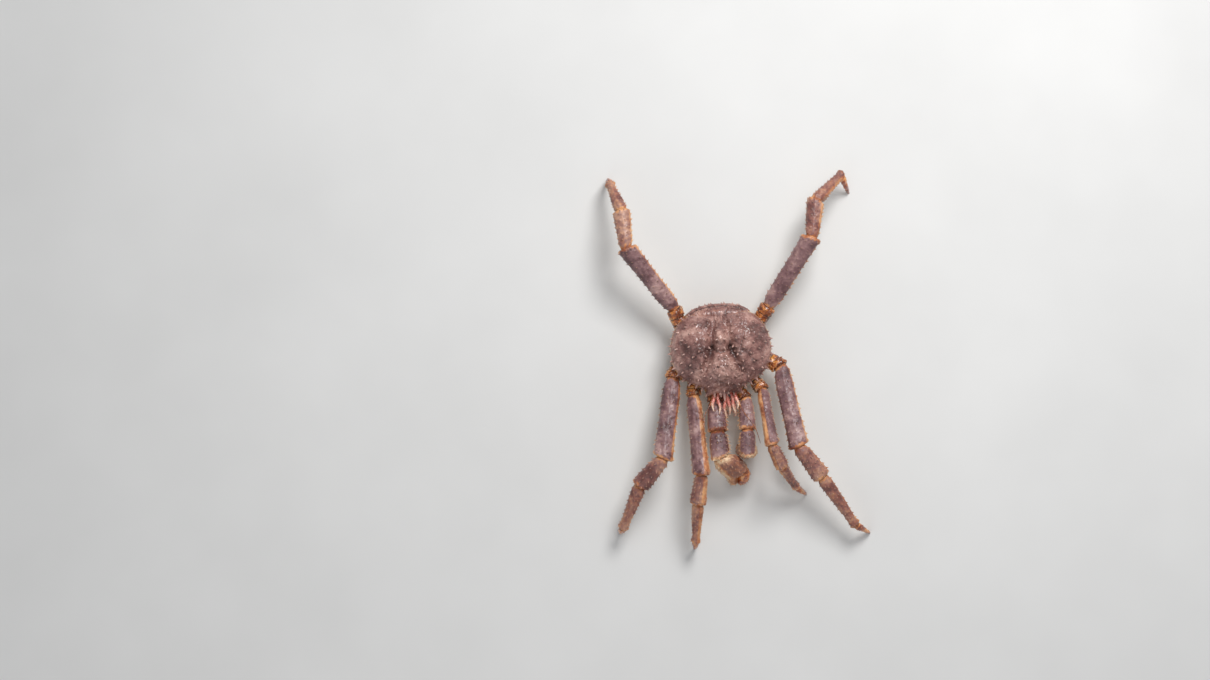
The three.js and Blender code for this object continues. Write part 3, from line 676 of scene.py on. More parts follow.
def lowerFace(angle, cells):
    # the rim's places in the grid, and the rings from it round the edge and in under the shell
    ahead, first, last = np.arange(cells), np.zeros(cells, int), np.full(cells, cells)
    rim = np.concatenate([np.stack(edge, 1) for edge in ((ahead, first), (last, ahead), (cells - ahead, last),
                                                         (first, cells - ahead))])
    rimAngle = angle[rim[:, 0], rim[:, 1]]
    outward = np.stack([np.sin(rimAngle), -np.cos(rimAngle), np.zeros(len(rimAngle))], -1)
    share, height, rough, pale = np.array(shell["lower"]).T
    rings = outward * (outlineReach(rimAngle) * share[:, None])[..., None]
    rings = rings + vec(0, 0, 1) * height[:, None, None]
    rings = rings + outward * (ripple(rings, 7, 31) * rough[:, None])[..., None]
    marks = {name: 0 * pale for name in markNames}
    marks.update(pale=pale, warm=0 * pale + 0.5)
    return rim[:, 0] * (cells + 1) + rim[:, 1], rings, marks


def makeCarapace():
    cells = relief["cells"]
    draw = np.random.default_rng(7)
    spines = shellSpines(draw) + beakSpines()
    dx, dy, steps = squareInDisc(cells)
    share = np.hypot(dx, dy).clip(0, 1)
    angle = np.arctan2(dx, -dy)
    reach = outlineReach(angle) * share
    x, y = np.sin(angle) * reach, -np.cos(angle) * reach
    top = np.stack([x, y, shellHeight(x, y, share)], -1)
    normal = gridNormals(top, False)
    normal *= np.sign(normal[..., 2:])
    lift = skirts(top, spines)
    for k, (size, height) in enumerate(relief["unevenness"]):
        lift += height * ripple(top, size, 20 + k)
    granules = scatter(draw, top, *relief["granules"])
    pores = scatter(draw, top, *relief["pores"])
    folds = pleatsAt(x, y)
    lift += granules - relief["poreDepth"] * pores - relief["pleats"]["depth"] * folds
    top = top + normal * (lift * (1 - ease(share, *relief["flatRim"])))[..., None]
    marks = shellMarks(top, x, y, share, spines, granules, pores, folds)

    rimIndex, rings, lowerMarks = lowerFace(angle, cells)
    rows, columns = rings.shape[:2]
    points = np.concatenate([top.reshape(-1, 3), rings.reshape(-1, 3), [[0, 0, shell["lower"][-1][1]]]])
    n = cells + 1
    i, j = (a.ravel() for a in np.meshgrid(np.arange(cells), np.arange(cells), indexing="ij"))
    quads = np.stack([i * n + j, (i + 1) * n + j, (i + 1) * n + j + 1, i * n + j + 1], -1)
    split, end = relief["map"]
    acrossMap, downMap = (steps[:, None] + 1) / 2, (steps[None] + 1) / 2 * split
    spot = np.stack(np.broadcast_arrays(acrossMap, downMap), -1).reshape(-1, 2)
    index = np.concatenate([rimIndex[None], n * n + np.arange(rows * columns).reshape(rows, columns)])
    r, c = (a.ravel() for a in np.meshgrid(np.arange(rows), np.arange(columns), indexing="ij"))
    d = (c + 1) % columns
    lowerQuads = np.stack([index[r, d], index[r, c], index[r + 1, c], index[r + 1, d]], -1)

    def band(row, column):
        return np.stack([column / columns, mix(split + 0.005, end, row / (rows + 1))], -1)

    lowerPlaces = np.stack([band(r, c + 1), band(r, c), band(r + 1, c), band(r + 1, c + 1)], 1)
    ring, last = np.arange(columns), np.full(columns, rows)
    tris = np.stack([index[-1][(ring + 1) % columns], index[-1], np.full(columns, len(points) - 1)], -1)
    triPlaces = np.stack([band(last, ring + 1), band(last, ring), band(last + 1, ring + 0.5)], 1)
    full = {name: np.concatenate([mark.ravel(), np.repeat(lowerMarks[name], columns), lowerMarks[name][-1:]])
            for name, mark in marks.items()}
    skin = Skin()
    skin.add(points, np.concatenate([quads, lowerQuads]), tris, np.concatenate([spot[quads], lowerPlaces]),
             triPlaces, full)
    skin.addSpines(spines, sides=8)
    return skin.build("shellPlate", finishes["shell"], "shell", ["carapace"])


makeCarapace()
print("shell plate done")


# Limbs: round-sided pieces along paths, with the joints' slanted ends
limbShape = {
    "squareness": 2.35, "slideShare": 0.45, "spacing": 0.95, "halfGap": 0.15,
    # the collar's spines: angle and height; its end's lip, and the rows from the end into the piece
    "rimSpines": [[14, 3], [44, 3.4], [74, 2.8], [104, 3.4], [134, 3], [164, 3.2], [230, 1.8], [310, 1.8]],
    "rimAt": 0.955, "lipDrop": 0.1, "lipLong": 1.7,
    "socket": [[0.55, 3], [0.76, 2.4], [0.84, 1.3], [0.88, 0.4]],
    # the knuckles' place, width and height, and the count, place and sizes of the collar's knobs
    "knuckle": [0.985, 6, 2.3], "knobs": [12, 3.4, (1.5, 2.4), (0.3, 0.7)],
    "grains": {"perArea": 0.24, "wide": (1.2, 2.0), "rise": 0.26}, "ripples": [16, 5],
    "warmEnd": [1.5, 8], "ragged": [2.2, 9],
}


class Path:
    # a smooth line through points, measured by its length
    def __init__(self, points, steps=240, smooth=True):
        points = np.array(points, float)
        if smooth and len(points) > 2:
            points = self.smoothed(points, steps)
        self.points = points
        gone = np.concatenate([[0], np.cumsum(np.linalg.norm(np.diff(points, axis=0), axis=1))])
        self.length = gone[-1]
        self.share = gone / gone[-1]
        self.ways = unitVector(np.gradient(points, gone, axis=0))

    def smoothed(self, points, steps):
        ends = np.concatenate([[2 * points[0] - points[1]], points, [2 * points[-1] - points[-2]]])
        gaps = np.linalg.norm(np.diff(ends, axis=0), axis=1) ** 0.5
        line = []
        for i in range(len(points) - 1):
            a, b, c, d = ends[i:i + 4]
            g0, g1, g2 = gaps[i:i + 3]
            leave = ((b - a) / g0 - (c - a) / (g0 + g1) + (c - b) / g1) * g1
            reach = ((c - b) / g1 - (d - b) / (g1 + g2) + (d - c) / g2) * g1
            p = np.linspace(0, 1, steps // (len(points) - 1), endpoint=False)[:, None]
            line.append(b * (2 * p**3 - 3 * p**2 + 1) + leave * (p**3 - 2 * p**2 + p)
                        + c * (3 * p**2 - 2 * p**3) + reach * (p**3 - p**2))
        return np.concatenate(line + [points[-1:]])

    def at(self, t):
        t = np.asarray(t, float)
        place = np.stack([np.interp(t, self.share, self.points[:, i]) for i in range(3)], -1)
        way = np.stack([np.interp(t, self.share, self.ways[:, i]) for i in range(3)], -1)
        return place, unitVector(way)


class Limb:
    # a piece along a path: stations give share of the length, half width, half thickness and shift across
    def __init__(self, path, across, stations, startNormal=None, endNormal=None, endGap=None,
                 squareness=None):
        self.path, self.across, self.stations = path, np.array(across, float), stations
        self.startNormal, self.endNormal = startNormal, endNormal
        self.endGap = limbShape["halfGap"] if endGap is None else endGap
        self.squareness = squareness or limbShape["squareness"]

    def section(self, t):
        at = [station[0] for station in self.stations]
        columns = [[(station[i] if len(station) > i else 0) for station in self.stations] for i in (1, 2, 3)]
        return [smoothThrough(t, at, column)[..., None] for column in columns]

    def surface(self, t, angle, out=1.0, deeper=0.0):
        # points of the surface and the way they face; out scales the section, deeper moves along the limb
        t, angle = np.broadcast_arrays(np.asarray(t, float), np.asarray(angle, float))
        centre, along = self.path.at(t)
        wide = unitVector(self.across - dot(self.across, along) * along)
        thick = np.cross(wide, along)
        halfWide, halfThick, shift = self.section(t)
        c, s = np.cos(angle)[..., None], np.sin(angle)[..., None]
        p = self.squareness
        reach = np.asarray(out, float)[..., None] * (np.abs(c) ** p + np.abs(s) ** p) ** (-1 / p)
        offset = wide * (reach * halfWide * c + shift) + thick * (reach * halfThick * s)
        normal = unitVector(wide * c / halfWide + thick * s / halfThick)
        slid = np.zeros(t.shape + (1,))
        ends = (self.startNormal, t, limbShape["halfGap"]), (self.endNormal, 1 - t, -self.endGap)
        for endNormal, share, short in ends:
            if endNormal is not None:
                weight = np.clip(1 - share / limbShape["slideShare"], 0, None)[..., None]
                slid += weight * (short - dot(offset, endNormal) / dot(along, endNormal))
        place = centre + offset + along * (slid + np.asarray(deeper, float)[..., None])
        return place, normal, along


def limbRows(length, startOpen, endOpen):
    # shares of the length, with how much of the section and how far along, from one end's inside to the
    # other's
    count = max(10, int(length / limbShape["spacing"]))
    t = np.linspace(0, 1, count)
    near = np.minimum(t if startOpen else 1 + 0 * t, 1 - t if endOpen else 1) * length
    out = 1 - limbShape["lipDrop"] * np.exp(-((near / limbShape["lipLong"]) ** 2))
    rows = list(zip(t, out, np.zeros(count)))
    if startOpen:
        rows = [(0, o, d) for o, d in limbShape["socket"]] + rows
    if endOpen:
        rows = rows + [(1, o, -d) for o, d in limbShape["socket"][::-1]]
    return (np.array(column) for column in zip(*rows))


def limbSpines(limb, rows, size, turn, draw):
    # rows of spines along a limb: angle round it, from, to, how many and how tall
    spines, spots = [], []
    for angle, start, end, count, height in rows:
        for k in range(count):
            t = mix(start, end, k / (count - 1) if count > 1 else 0.5) + draw.uniform(-0.012, 0.012)
            turned = math.radians(angle + draw.uniform(-7, 7))
            place, normal, along = limb.surface(np.float64(t), turn * turned)
            tall = height * size * draw.uniform(0.7, 1.2)
            spines.append((place, normal + along * 0.4, tall, tall * 0.27 + 0.6, along * 0.18))
            spots.append((t, turned, *normal))
    return spines, np.array(spots).reshape(-1, 5)


def collarBumps(limb, rings, size, draw):
    # knuckles at both edges of the far end, where the next piece hinges, and small knobs round the collar
    at, wide, tall = limbShape["knuckle"]
    spots = [limb.surface(np.float64(at), side)[0] for side in (0, np.pi)]
    raised = bumpsAt(rings, spots, [wide * size] * 2, [tall * size] * 2)
    count, back, widths, heights = limbShape["knobs"]
    turned = np.arange(count) / count * 2 * np.pi + draw.uniform(-0.15, 0.15, count)
    spots, _, _ = limb.surface(np.full(count, 1 - back / limb.path.length), turned)
    wide, tall = draw.uniform(*widths, count) * size, draw.uniform(*heights, count) * size
    return raised + bumpsAt(rings, spots, wide, tall)


def limbSkin(limb, seed, size=1.0, rows=(), turn=1, openEnds=(True, True), marks=None, granules=1.0,
             finer=1.0, carve=None, knobs=True, unevenness=(0.16, 0.08), skin=None, patch=(0, 0, 1, 0.74)):
    # one limb piece: swollen round its spines, granular, with a knuckled collar. marks(t, angle, normal)
    # colours it and carve(points, t, angle) cuts or raises it
    draw = np.random.default_rng(seed)
    t, out, deeper = limbRows(limb.path.length * finer, *openEnds)
    sizes = np.array([station[1:3] for station in limb.stations])
    columns = int(max(24, 2 * np.pi * sizes.max() / limbShape["spacing"] * finer))
    angle = np.arange(columns) / columns * 2 * np.pi
    rings, normal, _ = limb.surface(t[:, None], angle[None], out[:, None], deeper[:, None])
    tt, aa = (np.broadcast_to(a, rings.shape[:2]) for a in (t[:, None], angle[None]))
    inner = (np.abs(deeper) < 0.01)[:, None]
    knobs = knobs and openEnds[1]
    at = limbShape["rimAt"]
    rims = [[turned, at, at, 1, tall] for turned, tall in limbShape["rimSpines"]] if knobs else []
    spines, spots = limbSpines(limb, list(rows) + rims, size, turn, draw)
    lift = skirts(rings, spines)
    for k, height in enumerate(unevenness):
        lift += height * ripple(rings, limbShape["ripples"][k] * (1 if k else size), seed + 1 + k)
    grain = limbShape["grains"]
    count = int(limb.path.length * sizes.mean() * grain["perArea"] * granules)
    places, _, _ = limb.surface(draw.uniform(0.02, 0.98, count), draw.uniform(0, 2 * np.pi, count))
    wide = draw.uniform(*grain["wide"], count) * mix(0.8, 1, size)
    grains = bumpsAt(rings, places, wide, wide * grain["rise"])
    cut, raised = carve(rings, tt, turn * aa) if carve else (0 * tt, 0 * tt)
    collar = collarBumps(limb, rings, size, draw) if knobs else 0 * tt
    rings = rings + normal * ((lift + grains + collar + raised - cut) * inner)[..., None]
    fromStart, fromEnd = (far if isOpen else 1 + 0 * tt for far, isOpen in zip((tt, 1 - tt), openEnds))
    fromEnds = np.minimum(fromStart, fromEnd) * limb.path.length
    ragged = limbShape["ragged"][0] * ripple(rings, limbShape["ragged"][1], seed + 5)
    near, far = limbShape["warmEnd"]
    warm = 0.9 * (1 - ease(fromEnds + ragged, near, far * size))
    shadow = 0.6 * cut + 0.9 * (~inner) + 0.35 * (1 - ease(fromEnds, 0, 1.4))
    ground = {"tip": (grains * 0.7).clip(0, 0.34), "warm": warm, "pale": 0.45 * (collar / size).clip(0, 1),
              "dark": shadow.clip(0, 1)}
    under = {}
    if marks:
        under = marks(spots[:, 0], spots[:, 1], spots[:, 2:])
        for name, value in marks(tt, turn * aa, normal).items():
            dark = name == "dark"
            ground[name] = (ground[name] + value).clip(0, 1) if dark else np.maximum(ground[name], value)
    skin = skin or Skin()
    skin.addTube(rings, ground, patch)
    skin.addSpines(spines, {name: np.broadcast_to(value, len(spines)) for name, value in under.items()})
    return skin


def ringCuts(cuts, length):
    # grooves round a limb: share of the length, depth and width in millimetres
    def carve(points, t, angle):
        depth = sum(deep * np.exp(-(((t - share) * length / wide) ** 2)) for share, deep, wide in cuts)
        return depth, 0 * t
    return carve


# Joints' skins: short wrinkled sleeves from inside one piece's collar onto the root of the next
jointSleeve = {
    # share of the section and distance past the end, on the piece before and then on the piece after
    "before": [[0.6, -3.6], [0.72, -2], [0.78, -0.6]],
    "after": [[1.06, 0.1], [1.03, 0.9], [0.98, 1.8], [0.88, 3], [0.76, 4.6]],
    "columns": 60, "rows": 30, "wrinkles": 0.35, "folds": 0.2,
}


def jointSkin(name, before, after, seed):
    look = jointSleeve
    rows = [(before, 1.0, *row) for row in look["before"]] + [(after, 0.0, *row) for row in look["after"]]
    angle = np.arange(look["columns"]) / look["columns"] * 2 * np.pi
    rings = np.array([limb.surface(end, angle, out, deeper)[0] for limb, end, out, deeper in rows])
    fine = np.linspace(0, len(rows) - 1, look["rows"])
    low = np.floor(fine).astype(int).clip(0, len(rows) - 2)
    rings = mix(rings[low], rings[low + 1], ease(fine - low, -0.2, 1.2)[:, None, None])
    normal = gridNormals(rings, True)
    normal *= np.sign((normal * (rings - rings.mean(1, keepdims=True))).sum(-1, keepdims=True))
    lift = look["wrinkles"] * ripple(rings, 5, seed) + look["folds"] * np.sin(fine * 2.2)[:, None]
    skin = Skin()
    # the wrinkles' hollows are darker, a painted shade
    skin.addTube(rings + normal * lift[..., None], {"dark": (0.15 - 0.8 * lift).clip(0, 1)})
    return skin.build(name, finishes["joint"], "hip")


def headingVector(heading):
    return vec(math.cos(math.radians(heading)), math.sin(math.radians(heading)), 0)


def jointsOf(root, steps):
    joints = [np.array(root, float)]
    for step in steps:
        plan, heading = step[:2]
        place = joints[-1] + headingVector(heading) * plan
        place[2] = joints[-1][2] + step[2] if len(step) > 2 else 0
        joints.append(place)
    return joints


def mitre(a, b):
    return unitVector(a + b)


def turnedAbout(v, axis, angle):
    c, s = math.cos(angle), math.sin(angle)
    return v * c + np.cross(axis, v) * s + axis * (axis @ v) * (1 - c)


def scaled(stations, size):
    return [[station[0]] + [s * size for s in station[1:]] for station in stations]


# Walking legs: the roots on the body; pair, side, size and roll of each leg with its pieces' steps, each a
# length seen from above, a heading and a climb; and the pieces' share of the length, half width and half
# thickness at each section
legs = {
    "roots": {"front": [54, -50, 44], "middle": [80, -16, 46], "hind": [68, 36, 46]},
    "poses": [
        ["front", "right", 0.9, 25,
         [[33, -96, 10], [148, -89, 36], [55, -101, -18], [73, -97, -30], [14, -96]]],
        ["front", "left", 0.86, -75,
         [[37, -59, 10], [103, -86, 64], [44, -69, -22], [51, -59, -52], [27, -41]]],
        ["middle", "right", 1, 0,
         [[34, -113, 10], [150, -102, 40], [67, -134, -18], [87, -116, -34], [11, -119]]],
        ["middle", "left", 1, 0,
         [[39, -39, 10], [153, -82, 34], [72, -57, -16], [113, -59, -34], [34, -35]]],
        ["hind", "right", 0.94, 0,
         [[50, 105, 12], [145, 124, 42], [70, 93, -12], [57, 108, -42], [8, 105]]],
        ["hind", "left", 0.94, 0,
         [[49, 54, 12], [151, 54, 42], [69, 79, -12], [71, 40, -42], [36, -66]]],
    ],
    "pieces": {
        "hip": [[0, 12, 12], [0.5, 14.5, 13.5], [0.86, 16, 14.5], [1, 14, 13]],
        "merus": [[0, 11, 9.5], [0.07, 14.5, 12], [0.32, 16.8, 12.3], [0.6, 16.8, 12.6],
                  [0.84, 17.8, 13.8], [0.95, 18.6, 15], [1, 17, 14]],
        "carpus": [[0, 10.5, 9.8], [0.14, 13.8, 12], [0.35, 14.6, 12.4], [0.62, 16, 13.6],
                   [0.88, 17.2, 14.8], [1, 14.8, 13.4]],
        "propodus": [[0, 9.5, 9], [0.12, 12.5, 11], [0.5, 10.5, 9], [0.85, 8.5, 8], [0.95, 9, 8.5],
                     [1, 8, 8]],
        "dactyl": [[0, 6.5, 6.5], [0.2, 6.5, 6.5], [0.5, 5, 5.5], [0.8, 3.4, 3.6], [1, 1.9, 1.9]],
    },
    # each piece's rows of spines: angle round it, from, to, how many and how tall
    "spines": {
        "hip": [[20, 0.72, 0.9, 2, 3], [55, 0.55, 0.88, 3, 3.6], [90, 0.5, 0.85, 3, 3.8],
                [125, 0.55, 0.88, 3, 3.6], [160, 0.72, 0.9, 2, 3]],
        "merus": [[6, 0.08, 0.95, 12, 3.8], [174, 0.08, 0.95, 12, 3.8], [40, 0.12, 0.92, 8, 2.8],
                  [66, 0.15, 0.92, 9, 3.8], [90, 0.1, 0.94, 8, 2.6], [114, 0.1, 0.92, 9, 3.8],
                  [142, 0.12, 0.92, 8, 2.8], [205, 0.2, 0.9, 6, 2], [335, 0.2, 0.9, 6, 2]],
        "carpus": [[8, 0.15, 0.86, 6, 3.4], [172, 0.15, 0.86, 6, 3.4], [42, 0.2, 0.85, 5, 2.8],
                   [70, 0.22, 0.85, 5, 3.8], [112, 0.22, 0.85, 5, 3.8], [142, 0.2, 0.85, 5, 2.8]],
        "propodus": [[8, 0.1, 0.9, 9, 2.8], [172, 0.1, 0.9, 9, 2.8], [60, 0.14, 0.84, 7, 2.6],
                     [90, 0.16, 0.8, 6, 2.8], [122, 0.14, 0.84, 7, 2.6], [225, 0.2, 0.8, 5, 1.6],
                     [315, 0.2, 0.8, 5, 1.6]],
        "dactyl": [[30, 0.08, 0.3, 3, 1.6], [90, 0.08, 0.3, 3, 1.6], [150, 0.08, 0.3, 3, 1.6],
                   [270, 0.1, 0.3, 3, 1.4]],
    },
    "hipCuts": [[0.4, 1.6, 1.5], [0.66, 1.2, 1.3]],
    "toeBulge": 5, "keel": [0.9, 13], "unevenness": [0.38, 0.09],
    "warmth": {"hip": 0.3, "merus": 0.0, "carpus": 0.42, "propodus": 0.46, "dactyl": 0.6},
    # the cream and orange part of each leg's width, negative on its left as the photo shows it
    "warmSide": {"front_right": 0.42, "front_left": -0.34, "middle_right": 0.16, "middle_left": 0.14,
                 "hind_right": 0.14, "hind_left": 0.2},
}


def upness(normal):
    # how far a surface faces up, as a share of the most that any of it does
    steepest = np.abs(normal[..., 2]).max() if normal.size else 1
    return (normal[..., 2] / max(0.35, steepest)).clip(-1, 1)


def legMarks(piece, share):
    # mauve on top, tan and cream along one side, a thin line on the other and underneath, warmer towards the
    # tip, where the toe turns dark
    def marks(t, angle, normal):
        up, right = upness(normal), normal[..., 0] * math.copysign(1, share)
        bright = ease(right, 0.8 - 2 * abs(share), 1.15 - 2 * abs(share))
        thin = 0.5 * ease(-right, 0.8, 0.98)
        under = 1 - ease(up, -0.6, -0.05)
        end = 0 * t
        if piece == "dactyl":
            end = ease(t, 0.45, 0.9)
        elif piece == "propodus":
            end = 0.55 * ease(t, 0.9, 0.98)
        pale = np.maximum.reduce([0.32 * bright, 0.75 * ease(right, 0.85, 0.99), 0.8 * thin, 0.9 * under])
        hinge = 0.45 * ease(t, 0.75, 1) * (piece == "carpus")
        warm = np.maximum.reduce([legs["warmth"][piece] + 0 * right, 0.85 * bright, thin, hinge])
        return {"pale": pale * (1 - end), "warm": warm, "dark": 0.5 * end}
    return marks


def legRelief(piece, length):
    # a low keel along the top, and the hip's rings
    rings = ringCuts(legs["hipCuts"], length)
    up, wide = legs["keel"]

    def carve(points, t, angle):
        cut, raised = rings(points, t, angle) if piece == "hip" else (0 * t, 0 * t)
        fromTop = np.degrees(np.abs(angle - np.pi / 2))
        return cut, raised + up * np.exp(-((fromTop / wide) ** 2)) * ease(t, 0, 0.2) * (1 - ease(t, 0.8, 1))
    return carve


def makeLeg(pair, side, size, roll, steps, seed):
    out, along, up = legs["roots"][pair]
    joints = jointsOf([-out if side == "right" else out, along, up], steps)
    ways = [unitVector(b - a) for a, b in zip(joints, joints[1:])]
    name = f"leg_{pair}_{side}"
    limbs = []
    for i, (piece, stations) in enumerate(legs["pieces"].items()):
        heading, toe = steps[i][1], piece == "dactyl"
        across = turnedAbout(headingVector(heading - 90), ways[i], math.radians(roll if i else 0))
        line = [joints[i], joints[i + 1]]
        if toe:  # bulges forward on its way down to the floor
            bulge = mix(joints[i], joints[i + 1], 0.5) + headingVector(heading) * legs["toeBulge"]
            p = np.linspace(0, 1, 60)[:, None]
            line = (1 - p) ** 2 * joints[i] + 2 * p * (1 - p) * bulge + p**2 * joints[i + 1]
        path = Path(line, smooth=False)
        startNormal = mitre(ways[i - 1], ways[i]) if i else None
        endNormal = vec(0, 0, -1) if toe else mitre(ways[i], ways[i + 1])
        limb = Limb(path, across, scaled(stations, size), startNormal, endNormal, 0 if toe else None)
        limbs.append(limb)
        marks = legMarks(piece, legs["warmSide"][f"{pair}_{side}"])
        skin = limbSkin(limb, seed + i, size, legs["spines"][piece], 1, (i > 0, not toe), marks,
                        granules=0.4 if toe else 0.7, finer=1.3 if toe else 1, knobs=not toe,
                        carve=legRelief(piece, path.length), unevenness=legs["unevenness"])
        slot = {"hip": "hip", "dactyl": "toe"}.get(piece, "limb")
        skin.build(f"{name}_{piece}_shell", finishes[slot], slot, [f"{name}_{piece}"])
    for i, (before, after) in enumerate(zip(limbs, limbs[1:])):
        jointSkin(f"{name}_joint{i + 1}", before, after, seed + 10 + i)


for k, pose in enumerate(legs["poses"]):
    makeLeg(*pose, seed=100 + 20 * k)
print("legs done")


# Claw limbs
claws = {
    "root": [26, -68, 46],
    "poses": [
        ["right", 1, [[27, -70, 4], [60, -91, 24], [47, -89, 8], [44, -46, -32], [22, -92, -30]]],
        ["left", 0.84, [[30, -61, 4], [60, -92, 24], [39, -95, 6], [3, 90, -42], [2, 90, -28]]],
    ],
    "pieces": {
        "hip": [[0, 10, 10], [0.5, 12, 12], [0.86, 14, 13], [1, 13, 12]],
        "merus": [[0, 11, 11], [0.2, 15, 14], [0.6, 17.5, 16], [0.9, 18, 17], [1, 16, 15]],
        "carpus": [[0, 12, 11], [0.2, 16, 15], [0.6, 17.5, 16], [0.9, 17, 16], [1, 15, 14]],
        "palm": [[0, 12, 11], [0.08, 17, 14], [0.2, 21.5, 16.5], [0.35, 23, 17], [0.47, 22.5, 16.5],
                 [0.54, 21.5, 15.5, -1], [0.585, 17, 14, -5.5], [0.63, 11, 12.6, -11.5],
                 [0.68, 10, 12, -12.4], [0.78, 9.8, 11, -12], [0.88, 9, 9.6, -10], [0.96, 7, 7.4, -7],
                 [1, 4, 4.5, -5.5]],
        "finger": [[0, 7, 9, 10.5], [0.16, 9.2, 11.6, 11.6], [0.28, 9.6, 11.8, 12.2], [0.36, 10.6, 11.6, 13],
                   [0.5, 10, 10.8, 12.6], [0.7, 9, 9.6, 10.6], [0.88, 7.4, 7.6, 8], [0.96, 5.8, 6, 6.4],
                   [1, 3.4, 3.8, 5.5]],
    },
    "fingerStart": 0.47,
    # the skin round the finger's root: share of the finger, share of its section
    "sleeve": [[0.1, 0.98], [0.2, 1.05], [0.27, 1.04], [0.33, 0.95]], "sleeveRows": 24, "sleeveColumns": 56,
    # from, to and angles of the tufts on each finger, and from, to and angle of its row of teeth
    "tufts": {"palm": [0.64, 0.93, (-60, 60, 120, 180, 240)], "finger": [0.4, 0.92, (-100, -50, 0, 50, 100)],
              "along": 5, "hairs": 7, "hair": [3, 0.2], "patch": (0, 0.745, 1, 0.758)},
    "teeth": {"palm": [0.7, 0.93, 0], "finger": [0.4, 0.88, 180], "count": 6, "wide": 3.6, "tall": 1.9},
    # share of the palm, angle, width and height of its knuckles; share, width and depth of its groove
    "knuckles": [[0.535, 34, 5.5, 2.6], [0.535, -34, 5.5, 2.6], [0.52, 0, 6, 2.2], [0.25, 130, 9, 1.6],
                 [0.4, 60, 8, 1.4]],
    "palmGroove": [0.56, 0.02, 0.8],
    "spines": {
        "hip": [[115, 0.7, 0.88, 2, 3.6], [60, 0.6, 0.85, 2, 3]],
        "merus": [[4, 0.15, 0.94, 7, 4.8], [28, 0.2, 0.92, 5, 3.4], [50, 0.2, 0.92, 6, 4.4],
                  [76, 0.2, 0.92, 5, 3], [100, 0.25, 0.92, 5, 4.2], [130, 0.3, 0.9, 4, 3],
                  [160, 0.3, 0.9, 4, 2.6]],
        "carpus": [[4, 0.15, 0.9, 7, 4.8], [28, 0.2, 0.88, 5, 3.4], [52, 0.2, 0.88, 5, 4.6],
                   [78, 0.2, 0.86, 4, 3], [104, 0.25, 0.86, 4, 4.4], [134, 0.3, 0.86, 4, 3],
                   [162, 0.3, 0.86, 3, 2.6]],
        "palm": [[20, 0.1, 0.48, 6, 4.2], [44, 0.14, 0.5, 5, 3.2], [65, 0.14, 0.52, 5, 4.2],
                 [90, 0.12, 0.5, 5, 3], [115, 0.12, 0.5, 5, 4], [140, 0.14, 0.5, 5, 3],
                 [160, 0.18, 0.5, 5, 3.6], [220, 0.2, 0.5, 4, 2], [320, 0.2, 0.5, 4, 2]],
        "finger": [[20, 0.08, 0.6, 4, 2.4], [60, 0.08, 0.6, 4, 2.2], [300, 0.1, 0.6, 3, 2]],
    },
    "hipCuts": [[0.45, 1.4, 1.4], [0.7, 1, 1.2]],
}


def clawMarks(piece):
    # mauve on top and cream under, orange fingers with cream ends, and a cream outer side on the palm
    def marks(t, angle, normal):
        up, inner = upness(normal), np.cos(angle)
        pale = 0.9 * (1 - ease(up, -0.6, -0.05))
        warm = 0.15 + 0 * t
        if piece in ("merus", "carpus"):
            end = ease(t, 0.8, 0.97) * (piece == "carpus")
            edge = np.abs(inner)
            pale = np.maximum.reduce([pale, 0.5 * ease(edge, 0.84, 0.99), 0.7 * end])
            warm = np.maximum.reduce([warm, 0.6 * ease(edge, 0.75, 0.95), 0.6 * ease(t, 0.8, 1), 0.9 * end])
        if piece == "palm":
            outer = ease(-inner, 0.1, 0.8) * ease(up, -0.9, 0.2)
            root, tip = 1 - ease(t, 0.03, 0.25), ease(t, 0.9, 0.97)
            pale = np.maximum.reduce([pale, 0.9 * outer, 0.7 * root, 0.9 * tip, 0.3 * ease(t, 0.5, 0.7)])
            amber = 0.95 * ease(-inner, -0.1, 0.6), 0.95 * ease(t, 0.45, 0.62)
            warm = np.maximum.reduce([0.38 + 0 * t, *amber])
        if piece == "finger":
            pale = np.maximum(pale * 0.5, 0.9 * ease(t, 0.84, 0.95))
            warm = 0.95 + 0 * t
        return {"pale": pale, "warm": warm, "dark": 0 * t}
    return marks


def clawRelief(limb, piece, size):
    # rounded teeth along the inner edge of a finger, and on the palm the knuckles of the hinge and a groove
    # between the finger's horny face and its back
    look = claws["teeth"]
    start, end, angle = look[piece]
    places, _, _ = limb.surface(np.linspace(start, end, look["count"]), math.radians(angle))
    swell = (0.75 + 0.4 * np.sin(np.linspace(0.4, 2.9, look["count"]))) * size
    knuckles = claws["knuckles"] if piece == "palm" else []
    at, narrow, deep = claws["palmGroove"]

    def carve(points, t, turned):
        raised = bumpsAt(points, places, look["wide"] * swell, look["tall"] * swell)
        for share, way, wide, tall in knuckles:
            place, _, _ = limb.surface(np.float64(share), math.radians(way))
            raised += bumpsAt(points, [place], [wide * size], [tall * size])
        groove = deep * size * np.exp(-(((t - at) / narrow) ** 2)) if piece == "palm" else 0 * t
        return groove * (np.cos(turned) < 0.2), raised
    return carve


def tufts(limb, piece, seed, size):
    # tufts of short stiff bristles in rows on the backs of the fingers
    draw = np.random.default_rng(seed)
    look = claws["tufts"]
    start, end, angles = look[piece]
    tall, thin = look["hair"]
    hairs = []
    for turned in angles:
        for t in np.linspace(start, end, look["along"]):
            root = np.array([t, math.radians(turned)]) + draw.normal(0, [0.008, 0.06])
            for _ in range(look["hairs"]):
                spot = root + draw.normal(0, [0.006, 0.05])
                place, normal, along = limb.surface(*spot)
                way = normal + along * draw.uniform(0.6, 1.4)
                hairs.append((place, way, tall * size * draw.uniform(0.6, 1.2), thin, along * 0.3))
    return hairs


